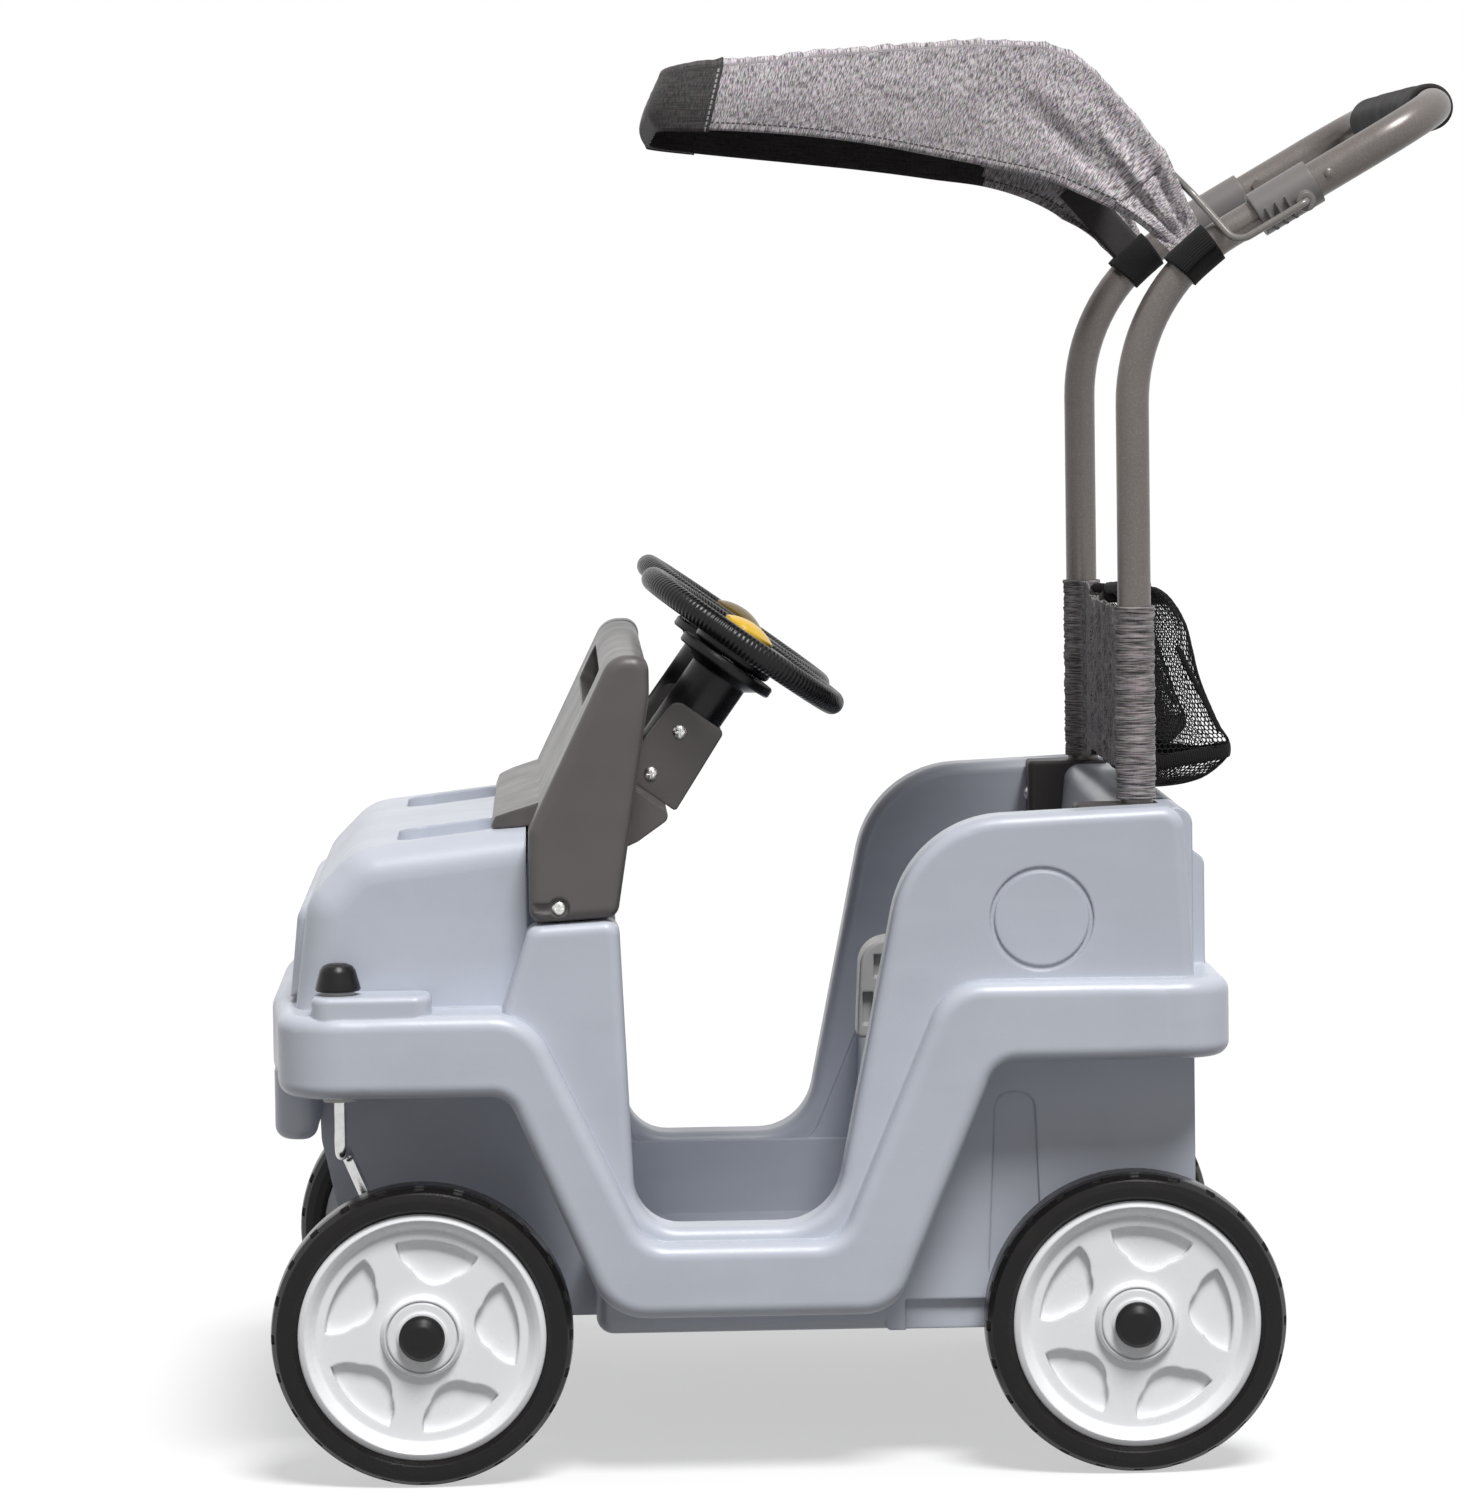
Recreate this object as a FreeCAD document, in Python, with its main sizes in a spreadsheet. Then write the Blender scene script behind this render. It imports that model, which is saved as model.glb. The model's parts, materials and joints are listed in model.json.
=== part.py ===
import FreeCAD, Part
import math
import os

import Sketcher
from FreeCAD import Placement, Rotation, Vector

# Push car with handle: X forward, Y to the left, Z up, millimetres, wheels standing on Z = 0.

doc = FreeCAD.newDocument("push_car")
sheet = doc.addObject("Spreadsheet::Sheet", "Sizes")

SIZES = {
    # wheels and axles
    "wheel_radius": 122.0,
    "tyre_width": 54.0,
    "bead_radius": 100.0,
    "wheel_inset": 33.0,
    "front_axle_x": 369.0,
    "rear_axle_x": -208.0,
    "axle_radius": 5.0,
    "bush_wall": 3.5,
    "running_gap": 0.05,
    "rim_face": 16.0,
    "rim_pocket_depth": 6.0,
    "hub_boss_radius": 31.0,
    "hub_length_out": 24.0,
    "hub_length_in": 29.0,
    "cap_radius": 18.5,
    "cap_height": 11.0,
    "tread_depth": 3.5,
    "tread_notches": 24.0,
    # casters
    "caster_x": 432.0,
    "caster_leg_inset": 44.0,
    "caster_jog_z": 268.0,
    "caster_bend": 11.0,
    "knob_radius": 18.5,
    "knob_height": 22.5,
    # body shell
    "body_half_width": 312.0,
    "band_half_width": 332.0,
    "cabin_half_width": 264.0,
    "hood_half_width": 272.0,
    "front_hull_half_width": 158.0,
    "panel_round": 10.0,
    "band_round": 12.0,
    "hull_bottom": 111.0,
    "floor_top": 133.0,
    "sill_top": 205.0,
    "wall_top": 540.0,
    "seat_top": 322.0,
    "seat_hollow": 3.0,
    "seat_front_x": -14.0,
    "shell_wall": 12.0,
    "fender_bottom": 315.0,
    "fender_top": 383.0,
    "bumper_front_x": 493.0,
    "rear_bumper_x": -287.0,
    "rear_wall_x": -262.0,
    "pad_height": 15.0,
    "ring_radius": 42.0,
    # windscreen and dash
    "dash_top": 669.0,
    "dash_front_x": 277.0,
    "dash_base": 457.0,
    "dash_half_width": 225.0,
    "grab_slot_half_width": 205.0,
    "grab_slot_height": 34.0,
    # steering
    "steer_y": 132.0,
    "steer_x": 97.0,
    "steer_tilt": 35.5,
    "steer_radius": 100.0,
    "grip_radius": 10.0,
    "shaft_radius": 8.0,
    "housing_radius": 25.5,
    "flange_radius": 44.0,
    "bracket_wall": 4.0,
    "bracket_length": 77.0,
    "column_length": 147.0,
    "horn_radius": 23.0,
    "horn_travel": 4.0,
    "screw_head": 6.0,
    # push handle
    "tube_x": -218.0,
    "tube_y": 249.0,
    "tube_radius": 13.5,
    "upper_tube_radius": 15.0,
    "tube_wall": 1.4,
    "tube_foot": 334.0,
    "handle_corner_z": 954.0,
    "handle_slope": 30.0,
    "handle_bend": 160.0,
    "handle_reach": 293.0,
    "handle_corner": 60.0,
    "upper_start": 117.0,
    "lower_end": 205.0,
    "bolt_station": 184.0,
    "foam_radius": 20.0,
    "foam_lead": 2.0,
    "clip_length": 54.0,
    "clip_wall": 3.6,
    "pivot_station": 156.0,
    "pivot_drop": 10.0,
    # canopy
    "canopy_half_width": 252.0,
    "canopy_cloth": 3.0,
    "canopy_front_x": 170.0,
    "canopy_top": 1157.0,
    "canopy_seam_x": 111.0,
    "wire_radius": 3.0,
    "arm_y": 278.0,
    "cuff_angle": 48.0,
    "cuff_length": 36.0,
    # bag
    "bag_bottom": 549.0,
    "bag_top": 698.0,
    "bag_cloth": 3.0,
    "pouch_half_width": 188.0,
    "pouch_depth": 80.0,
    # seat console
    "console_length": 140.0,
    "console_width": 46.0,
    "console_height": 88.0,
}

for row, (alias, value) in enumerate(SIZES.items(), start=1):
    sheet.set(f"A{row}", alias)
    sheet.set(f"B{row}", str(value))
    sheet.setAlias(f"B{row}", alias)
doc.recompute()


class Size:
    """A number together with the spreadsheet formula that gives it."""

    def __init__(self, value, formula):
        self.value = float(value)
        self.formula = formula

    def __float__(self):
        return self.value

    def __neg__(self):
        return Size(-self.value, f"(-{self.formula})")

    def __add__(self, other):
        other = as_size(other)
        return Size(self.value + other.value, f"({self.formula} + {other.formula})")

    def __sub__(self, other):
        other = as_size(other)
        return Size(self.value - other.value, f"({self.formula} - {other.formula})")

    def __mul__(self, other):
        other = as_size(other)
        return Size(self.value * other.value, f"({self.formula} * {other.formula})")

    def __truediv__(self, other):
        other = as_size(other)
        return Size(self.value / other.value, f"({self.formula} / {other.formula})")

    __radd__ = __add__
    __rmul__ = __mul__

    def __rsub__(self, other):
        return as_size(other) - self


def as_size(number):
    return number if isinstance(number, Size) else Size(number, f"({float(number)!r})")


def cell(alias):
    return Size(sheet.get(alias), f"Sizes.{alias}")


def mm(alias):
    return float(sheet.get(alias))


def bind(obj, prop, number):
    obj.setExpression(prop, as_size(number).formula)


nodes = []


def node(obj, label):
    obj.Label = label
    nodes.append(obj)
    return obj


def feature(label, shape):
    obj = doc.addObject("Part::Feature", label)
    obj.Shape = shape
    return node(obj, label)


# Outlines, prisms and sweeps.

def rounded_wire(points, to_vector):
    """Closed outline through corners (a, b, radius), with each corner rounded by an arc."""
    corners = [(to_vector(a, b), radius) for a, b, radius in points]
    return rounded_path(corners, closed=True)


def rounded_path(corners, closed=False):
    count = len(corners)
    tangents = []
    for index, (corner, radius) in enumerate(corners):
        at_end = not closed and index in (0, count - 1)
        if at_end or not radius:
            tangents.append((corner, None, corner))
            continue
        before = corners[index - 1][0] - corner
        after = corners[(index + 1) % count][0] - corner
        before.normalize()
        after.normalize()
        half = before.getAngle(after) / 2
        if abs(half - math.pi / 2) < 1e-4:
            tangents.append((corner, None, corner))
            continue
        reach = radius / math.tan(half)
        bisector = before + after
        bisector.normalize()
        middle = corner + bisector * (radius / math.sin(half) - radius)
        tangents.append((corner + before * reach, middle, corner + after * reach))
    edges = []
    for index, (start, middle, end) in enumerate(tangents):
        if middle is not None:
            edges.append(Part.Arc(start, middle, end).toShape())
        if index == count - 1 and not closed:
            break
        following = tangents[(index + 1) % count][0]
        if (following - end).Length > 1e-6:
            edges.append(Part.makeLine(end, following))
    return Part.Wire(edges)


def side_prism(points, y_from, y_to):
    """Outline in X and Z drawn out along Y."""
    wire = rounded_wire(points, lambda x, z: Vector(x, y_from, z))
    return Part.Face(wire).extrude(Vector(0, y_to - y_from, 0))


def plan_prism(points, z_from, z_to):
    """Outline in X and Y drawn out along Z."""
    wire = rounded_wire(points, lambda x, y: Vector(x, y, z_from))
    return Part.Face(wire).extrude(Vector(0, 0, z_to - z_from))


def block(x, y, z):
    """Box from three (low, high) pairs."""
    return Part.makeBox(x[1] - x[0], y[1] - y[0], z[1] - z[0], Vector(x[0], y[0], z[0]))


def soften(shape, radius, *planes, sharp=()):
    """Round every edge that lies in one of the planes ("y", 312.0), but in none of the sharp ones."""
    def lies_in(edge, axis, level):
        return all(abs(getattr(v.Point, axis) - level) < 1e-4 for v in edge.Vertexes)

    edges = [e for e in shape.Edges if any(lies_in(e, *plane) for plane in planes)
             and not any(lies_in(e, *plane) for plane in sharp)]
    return shape.makeFillet(radius, edges)


def both_sides(shape):
    return [shape, shape.mirror(Vector(0, 0, 0), Vector(0, 1, 0))]


def on_side(shape, side):
    return shape if side > 0 else shape.mirror(Vector(0, 0, 0), Vector(0, 1, 0))


def pipe(path, radius):
    edge = path.Edges[0]
    start = edge.valueAt(edge.FirstParameter)
    if (start - path.OrderedVertexes[0].Point).Length > 1e-6:
        start = path.OrderedVertexes[0].Point
    direction = edge.tangentAt(edge.FirstParameter)
    circle = Part.Wire(Part.makeCircle(radius, start, direction))
    return path.makePipeShell([circle], True, False)


def tube(path, outer, inner, longer_path=None):
    return pipe(path, outer).cut(pipe(longer_path or path, inner))


def solid_of(shape):
    return shape.Solids[0] if len(shape.Solids) == 1 else shape


# Turned parts are PartDesign bodies: a closed profile of (radius, height) turned about Z.

def turned(label, profile, as_node=True):
    body = doc.addObject("PartDesign::Body", label)
    sketch = body.newObject("Sketcher::SketchObject", label + "_profile")
    plane = [f for f in body.Origin.OriginFeatures if f.Role == "XZ_Plane"][0]
    sketch.AttachmentSupport = [(plane, "")]
    sketch.MapMode = "FlatFace"
    corners = [Vector(float(r), float(h), 0) for r, h in profile]
    count = len(corners)
    for index in range(count):
        sketch.addGeometry(Part.LineSegment(corners[index], corners[(index + 1) % count]), False)
    for index in range(count):
        sketch.addConstraint(Sketcher.Constraint("Coincident", index, 2, (index + 1) % count, 1))
    for index, (radius, height) in enumerate(profile):
        across = sketch.addConstraint(Sketcher.Constraint("DistanceX", -1, 1, index, 1, float(radius)))
        along = sketch.addConstraint(Sketcher.Constraint("DistanceY", -1, 1, index, 1, float(height)))
        bind(sketch, f"Constraints[{across}]", radius)
        bind(sketch, f"Constraints[{along}]", height)
    turn = body.newObject("PartDesign::Revolution", label + "_turn")
    turn.Profile = sketch
    turn.ReferenceAxis = (sketch, ["V_Axis"])
    turn.Angle = 360
    body.Label = label
    if as_node:
        nodes.append(body)
    return body


SIDES = (("left", 1), ("right", -1))
WHEELS = (
    ("front_left", "front_axle_x", 1),
    ("front_right", "front_axle_x", -1),
    ("rear_left", "rear_axle_x", 1),
    ("rear_right", "rear_axle_x", -1),
)

wheel_radius = cell("wheel_radius")
half_tyre = cell("tyre_width") / 2
bead = cell("bead_radius")
axle = cell("axle_radius")
gap = cell("running_gap")
bush_outer = axle + gap + cell("bush_wall")
hub_out = cell("hub_length_out")
hub_in = -cell("hub_length_in")
boss = cell("hub_boss_radius")
rim_face = cell("rim_face")
wheel_mid = cell("band_half_width") - cell("wheel_inset")


def wheel_place(obj, axle_alias, side):
    """Stand a part turned about Z on its axle, its top facing outwards."""
    obj.Placement = Placement(Vector(0, 0, 0), Rotation(Vector(1, 0, 0), -90 * side))
    bind(obj, "Placement.Base.x", cell(axle_alias))
    bind(obj, "Placement.Base.y", wheel_mid * side)
    bind(obj, "Placement.Base.z", wheel_radius)


def polar(body, feature_to_repeat, count, label):
    pattern = body.newObject("PartDesign::PolarPattern", label)
    pattern.Originals = [feature_to_repeat]
    pattern.Axis = ([f for f in body.Origin.OriginFeatures if f.Role == "Z_Axis"][0], [""])
    pattern.Angle = 360
    bind(pattern, "Occurrences", count)
    return pattern


def make_tyre(label):
    """Tyre with a rounded tread; the notches at each shoulder are cut around it."""
    tread = wheel_radius
    shoulder = wheel_radius - 5
    wall = half_tyre - 4
    turned_body = turned(label + "_turned", [
        (bead, -half_tyre + 5), (bead + 4, -half_tyre), (shoulder - 6, -half_tyre),
        (shoulder, -half_tyre + 2), (tread - 1, -wall + 5), (tread, -wall + 12),
        (tread, wall - 12), (tread - 1, wall - 5), (shoulder, half_tyre - 2),
        (shoulder - 6, half_tyre), (bead + 4, half_tyre), (bead, half_tyre - 5),
    ], as_node=False)
    count = int(round(mm("tread_notches")))
    deep = mm("tread_depth")
    radius, half = mm("wheel_radius"), mm("tyre_width") / 2
    notch_width = math.pi * radius / count * 0.5
    low = radius - deep
    cutters = []
    for step in range(count):
        for edge, offset in ((1, 0.0), (-1, 0.5)):
            z = (half - 13, half + 1) if edge > 0 else (-half - 1, -half + 13)
            cutter = block((low, radius + 5), (-notch_width / 2, notch_width / 2), z)
            cutter.rotate(Vector(0, 0, 0), Vector(0, 0, 1), 360.0 * (step + offset) / count)
            cutters.append(cutter)
    tool = doc.addObject("Part::Feature", label + "_notches")
    tool.Shape = Part.Compound(cutters)
    cut = doc.addObject("Part::Cut", label)
    cut.Base = turned_body
    cut.Tool = tool
    return node(cut, label)


def make_rim(label):
    """Rim with a dished face, a grooved hub boss and five pockets between its spokes."""
    body = turned(label, [
        (bush_outer, hub_in), (boss - 8, hub_in), (boss - 8, rim_face - 9), (bead - 12, rim_face - 9),
        (bead - 12, -half_tyre + 4), (bead, -half_tyre + 4), (bead, half_tyre - 4.5),
        (bead - 5, half_tyre - 2), (bead - 9, half_tyre - 5), (bead - 14, rim_face),
        (boss + 2.5, rim_face), (boss + 0.5, hub_out - 2.5), (boss - 0.5, hub_out - 1.5),
        (boss - 1.6, hub_out - 1.5), (boss - 1.6, hub_out - 4), (boss - 2.8, hub_out - 4),
        (boss - 2.8, hub_out - 1.2), (boss - 10, hub_out - 1.2), (boss - 11, hub_out), (bush_outer, hub_out),
    ])
    sketch = body.newObject("Sketcher::SketchObject", label + "_pocket_outline")
    plane = [f for f in body.Origin.OriginFeatures if f.Role == "XY_Plane"][0]
    sketch.AttachmentSupport = [(plane, "")]
    sketch.MapMode = "FlatFace"
    bind(sketch, "AttachmentOffset.Base.z", rim_face)
    point, inner, outer = mm("hub_boss_radius") + 12, mm("hub_boss_radius") + 24, mm("bead_radius") - 22
    spread, narrow, turn = math.radians(25.5), math.radians(19), math.radians(-28.6)

    def at(radius, angle):
        return Vector(radius * math.cos(angle + turn), radius * math.sin(angle + turn), 0)

    outer_arc = Part.Arc(at(outer, -spread), at(outer, 0), at(outer, spread))
    inner_arc = Part.Arc(at(inner, narrow), at(point, 0), at(inner, -narrow))
    bulge = (outer + inner) / 2
    upper = Part.Arc(at(outer, spread), at(bulge, spread), at(inner, narrow))
    lower = Part.Arc(at(inner, -narrow), at(bulge, -spread), at(outer, -spread))
    for curve in (outer_arc, upper, inner_arc, lower):
        sketch.addGeometry(curve, False)
    pocket = body.newObject("PartDesign::Pocket", label + "_pocket")
    pocket.Profile = sketch
    bind(pocket, "Length", cell("rim_pocket_depth"))
    pattern = polar(body, pocket, 5, label + "_pockets")
    body.Tip = pattern
    return body


for name, axle_alias, side in WHEELS:
    wheel_place(make_tyre(f"tyre_{name}"), axle_alias, side)
    wheel_place(make_rim(f"rim_{name}"), axle_alias, side)
    bush = turned(f"hub_bush_{name}", [
        (axle + gap, hub_in - 2), (bush_outer + 6, hub_in - 2), (bush_outer + 6, hub_in),
        (bush_outer, hub_in), (bush_outer, hub_out), (axle + gap, hub_out),
    ])
    wheel_place(bush, axle_alias, side)
    cap_foot = hub_out + 1.5
    cap_edge = cell("cap_radius")
    cap = turned(f"axle_cap_{name}", [
        (axle, cap_foot), (cap_edge - 1, cap_foot), (cap_edge, cap_foot + 1), (cap_edge, cap_foot + 4),
        (cap_edge - 3, cap_foot + 7.5), (cap_edge - 8, cap_foot + cell("cap_height") - 0.8),
        (0, cap_foot + cell("cap_height")), (0, cap_foot + 7), (axle, cap_foot + 7),
    ])
    wheel_place(cap, axle_alias, side)

axle_end = wheel_mid + hub_out + 8.5
rear_axle = doc.addObject("Part::Cylinder", "rear_axle")
bind(rear_axle, "Radius", axle)
bind(rear_axle, "Height", axle_end * 2)
rear_axle.Placement = Placement(Vector(0, 0, 0), Rotation(Vector(1, 0, 0), -90))
bind(rear_axle, "Placement.Base.x", cell("rear_axle_x"))
bind(rear_axle, "Placement.Base.y", -axle_end)
bind(rear_axle, "Placement.Base.z", wheel_radius)
node(rear_axle, "rear_axle")

# Casters: a bent rod hangs in a flanged bush in the fender, with a domed knob on top.

fender_top = cell("fender_top") + cell("pad_height")
bush_flange = 3.0
bush_radius = axle + gap + cell("bush_wall")
for name, side in SIDES:
    pivot = Vector(mm("caster_x"), side * float(wheel_mid), 0)
    leg_y = side * float(wheel_mid - cell("caster_leg_inset"))
    jog = mm("caster_jog_z")
    bend = mm("caster_bend")
    spindle_top = float(fender_top) + bush_flange + 10
    rod_path = rounded_path([
        (Vector(pivot.x, pivot.y, spindle_top), 0),
        (Vector(pivot.x, pivot.y, jog), bend),
        (Vector(pivot.x - 2, leg_y, jog - 2), bend),
        (Vector(mm("front_axle_x"), leg_y, mm("wheel_radius")), bend),
        (Vector(mm("front_axle_x"), side * float(axle_end), mm("wheel_radius")), 0),
    ])
    feature(f"caster_rod_{name}", pipe(rod_path, mm("axle_radius")))

    bush_low = cell("fender_bottom")
    bush = turned(f"caster_bush_{name}", [
        (axle + gap, bush_low - bush_flange), (bush_radius + 5, bush_low - bush_flange),
        (bush_radius + 5, bush_low), (bush_radius, bush_low), (bush_radius, fender_top),
        (bush_radius + 5, fender_top), (bush_radius + 5, fender_top + bush_flange),
        (axle + gap, fender_top + bush_flange),
    ])
    knob_foot = fender_top + bush_flange + 0.3
    knob = cell("knob_radius")
    knob_top = knob_foot + cell("knob_height")
    cap = turned(f"caster_knob_{name}", [
        (axle, knob_foot), (knob - 1, knob_foot), (knob, knob_foot + 1.5), (knob - 0.8, knob_foot + 5),
        (knob - 4, knob_top - 6), (knob - 6.5, knob_top - 2.5), (knob - 11, knob_top - 0.6), (0, knob_top),
        (0, fender_top + bush_flange + 10), (axle, fender_top + bush_flange + 10),
    ])
    for obj in (bush, cap):
        bind(obj, "Placement.Base.x", cell("caster_x"))
        bind(obj, "Placement.Base.y", wheel_mid * side)

# Body shell: prisms with rounded edges joined into one moulding.

body_y, band_y, cabin_y = mm("body_half_width"), mm("band_half_width"), mm("cabin_half_width")
hood_y, nose_y = mm("hood_half_width"), mm("front_hull_half_width")
panel_round, band_round, shell_wall = mm("panel_round"), mm("band_round"), mm("shell_wall")
bottom, floor_top, sill_top = mm("hull_bottom"), mm("floor_top"), mm("sill_top")
wall_top, seat_top, seat_x = mm("wall_top"), mm("seat_top"), mm("seat_front_x")
fender_low, fender_high = mm("fender_bottom"), mm("fender_top")
dash_x, dash_base = mm("dash_front_x"), mm("dash_base")
rear_x, bumper_x, tail_x = mm("rear_wall_x"), mm("bumper_front_x"), mm("rear_bumper_x")
caster_x, caster_y = mm("caster_x"), float(wheel_mid)
tube_x, tube_y = mm("tube_x"), mm("tube_y")
rear_axle_x = mm("rear_axle_x")
rear_band_low, rear_band_high = fender_low + 21, fender_high + 19
sill_band_top, sill_band_low = sill_top - 11, sill_top - 71


def side_panel():
    outline = [
        (dash_x, dash_base - 5, 12), (205, dash_base - 1, 12), (195, sill_top, 38), (36, sill_top, 50),
        (-30, wall_top - 9, 95), (rear_x + 12, wall_top, 18), (rear_x, rear_band_low + 6, 14),
        (-100, rear_band_low + 6, 20), (-16, sill_band_low + 8, 30), (216, sill_band_low + 8, 30),
        (294, fender_low + 8, 20), (300, fender_high, 12),
    ]
    panel = side_prism(outline, cabin_y, body_y)
    return soften(panel, panel_round, ("y", cabin_y), ("y", body_y))


def trim_band():
    outline = [
        (436, fender_high - 1.6, 14), (380, fender_high - 0.4, 200), (278, fender_high - 0.4, 50),
        (187, sill_band_top, 28), (31, sill_band_top, 28), (-57, rear_band_high - 0.4, 46),
        (-190, rear_band_high - 0.4, 200), (-245, rear_band_high - 1.6, 14), (-245, rear_band_low + 1.6, 14),
        (-190, rear_band_low + 0.4, 200), (-97, rear_band_low + 0.4, 26), (-13, sill_band_low, 40),
        (218, sill_band_low, 48), (297, fender_low + 0.4, 20), (380, fender_low + 0.4, 200),
        (436, fender_low + 1.6, 14),
    ]
    return soften(side_prism(outline, cabin_y - 4, band_y - 0.4), band_round, ("y", band_y - 0.4))


def front_bumper():
    outline = [
        (310, band_y - 1.2, 0), (bumper_x - 15, band_y, 52), (bumper_x, 130, 500), (bumper_x, -130, 500),
        (bumper_x - 15, -band_y, 52), (310, -band_y + 1.2, 0),
    ]
    low, high = fender_low + 0.8, fender_high - 0.8
    return soften(plan_prism(outline, low, high), band_round, ("z", low), ("z", high))


def rear_bumper():
    outline = [
        (tail_x, band_y, 40), (-190, band_y - 1.2, 0), (-190, -band_y + 1.2, 0), (tail_x, -band_y, 40),
    ]
    low, high = rear_band_low + 0.8, rear_band_high - 0.8
    return soften(plan_prism(outline, low, high), band_round, ("z", low), ("z", high))


def chin():
    outline = [
        (bumper_x - 41, 262, 14), (bumper_x - 6, 262, 20), (bumper_x - 6, -262, 20),
        (bumper_x - 41, -262, 14),
    ]
    slab = plan_prism(outline, fender_low - 40, fender_low + 16)
    return soften(slab, 11, ("z", fender_low - 40))


hood_drop = 16.0 / (418 - dash_x - 2)


def hood_top(x):
    """Height of the hood's sloping top at a distance along the car."""
    return wall_top - 13 - (x - dash_x - 2) * hood_drop


def hood():
    outline = [
        (dash_x + 2, fender_low + 12, 0), (dash_x + 2, wall_top - 13, 0), (418, wall_top - 29, 44),
        (457, wall_top - 68, 40), (468, fender_high + 2, 40), (468, fender_low + 12, 0),
    ]
    return soften(side_prism(outline, -hood_y, hood_y), 28, ("y", -hood_y), ("y", hood_y),
                  sharp=(("x", dash_x + 2), ("z", fender_low + 12)))


def hood_hollow():
    """Hollow under the hood, its front top corner cut off along the hood's slope."""
    outline = [
        (215, fender_high, 0), (215, wall_top - 50, 0), (415, wall_top - 50, 0), (446, wall_top - 81, 0),
        (446, fender_high, 0),
    ]
    return side_prism(outline, -hood_y + 14, hood_y - 14)


def hood_tray(side):
    """Shallow tray sunk in the hood's sloping top in front of each rider."""
    tray = plan_prism([(-44, 112, 22), (42, 112, 22), (42, 228, 22), (-44, 228, 22)], -11, 40)
    slope = Rotation(Vector(0, 1, 0), math.degrees(math.atan(hood_drop)))
    tray.Placement = Placement(Vector(dash_x + 66, 0, hood_top(dash_x + 66)), slope)
    return on_side(tray, side)


def grille():
    low, high = fender_high + 4, wall_top - 75

    def face_x(z):
        return 474 - 8 * (z - low) / (high - low)

    outline = [(430, low, 0), (face_x(low), low, 0), (face_x(high), high, 16), (430, high, 0)]
    panel = side_prism(outline, -216, 216)
    panel = soften(panel, 10, ("y", -216), ("y", 216))
    low, high = low + 18, high - 14
    slot = [(face_x(low) - 4, low, 0), (face_x(low) + 20, low, 0), (face_x(high) + 20, high, 0),
            (face_x(high) - 4, high, 0)]
    return panel.cut([side_prism(slot, y - 7, y + 7) for y in (-112, -84, -56, -28, 0, 28, 56, 84, 112)])


def caster_pad(side):
    low_y, high_y = caster_y - 27, caster_y + 27
    outline = [(357, low_y, 14), (caster_x + 21, low_y, 14), (caster_x + 21, high_y, 14), (357, high_y, 14)]
    pad = plan_prism(outline, fender_high - 6, float(fender_top))
    return on_side(soften(pad, 5, ("z", float(fender_top))), side)


def front_hull(half_width, inset):
    outline = [
        (215, bottom + inset, 4), (420 - 0.6 * inset, bottom + inset, 25), (453 - inset, 262, 40),
        (456 - inset, fender_high - 20, 4), (215, fender_high - 20, 4),
    ]
    return side_prism(outline, -half_width, half_width)


def cabin_floor():
    tub = side_prism([
        (seat_x - 20, bottom, 4), (228, bottom, 14), (228, sill_top - 5, 6), (seat_x - 20, sill_top - 5, 4),
    ], -cabin_y, cabin_y)
    return soften(tub, 11, ("z", bottom))


def seat_base():
    return side_prism([
        (rear_x, bottom, 12), (seat_x + 6, bottom, 4), (seat_x, seat_top, 18), (rear_x, seat_top, 4),
    ], -cabin_y, cabin_y)


def backrest():
    return side_prism([
        (rear_x, seat_top - 20, 4), (rear_x, wall_top - 5, 14), (-200, wall_top - 5, 14),
        (-176, seat_top - 20, 4),
    ], -cabin_y, cabin_y)


def seat_wall(side):
    """Low wall beside the seat that closes the hull up to the trim band."""
    return on_side(block((rear_x, -80), (cabin_y - 8, cabin_y), (seat_top - 15, rear_band_low + 15)), side)


def hull_recess(side):
    """Shallow upright recess in the hull's side, ahead of the rear wheel."""
    outline = [(-92, 150, 10), (-99, seat_top - 17, 14), (-131, seat_top - 17, 14), (-137, 150, 10)]
    return on_side(side_prism(outline, cabin_y - 2, cabin_y + 4), side)


def hull_undercut(side):
    """Step along the hull's lower edge, where the moulding's base flange shows."""
    return on_side(block((rear_x - 1, -24), (cabin_y - 6, cabin_y + 1), (bottom - 1, bottom + 25)), side)


def rear_panel():
    return side_prism([
        (rear_x - 15, rear_band_high - 20, 2), (rear_x - 15, wall_top - 52, 10),
        (rear_x + 10, wall_top - 34, 2), (rear_x + 10, rear_band_high - 20, 2),
    ], -210, 210)


def axle_boss(side):
    outline = [(rear_axle_x - 22, 96, 12), (rear_axle_x + 22, 96, 12), (rear_axle_x + 22, 160, 4),
               (rear_axle_x - 22, 160, 4)]
    return on_side(side_prism(outline, cabin_y - 44, cabin_y), side)


def ring_groove(side):
    centre = Vector(-135, body_y - 1.6, 451)
    outer = Part.makeCylinder(mm("ring_radius"), 8, centre, Vector(0, 1, 0))
    inner = Part.makeCylinder(mm("ring_radius") - 4, 8, centre, Vector(0, 1, 0))
    return on_side(outer.cut(inner), side)


SOCKET_LOW, SOCKET_CLEAR = wall_top - 110, 0.3


def socket_block(side, clearance, top):
    rear, front = tube_x - 19 - clearance, tube_x + 51 + clearance
    inner, outer = tube_y - 24 - clearance, cabin_y - 0.6 + clearance
    outline = [(rear, inner, 4), (front, inner, 6), (front, outer, 4), (rear, outer, 4)]
    return on_side(plan_prism(outline, SOCKET_LOW - clearance, top), side)


def seat_hollow(side):
    """Shallow rounded hollow in the seat's top, one for each rider."""
    outline = [(-165, 40, 24), (-45, 40, 24), (-45, 240, 24), (-165, 240, 24)]
    return on_side(plan_prism(outline, seat_top - mm("seat_hollow"), seat_top + 10), side)


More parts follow.
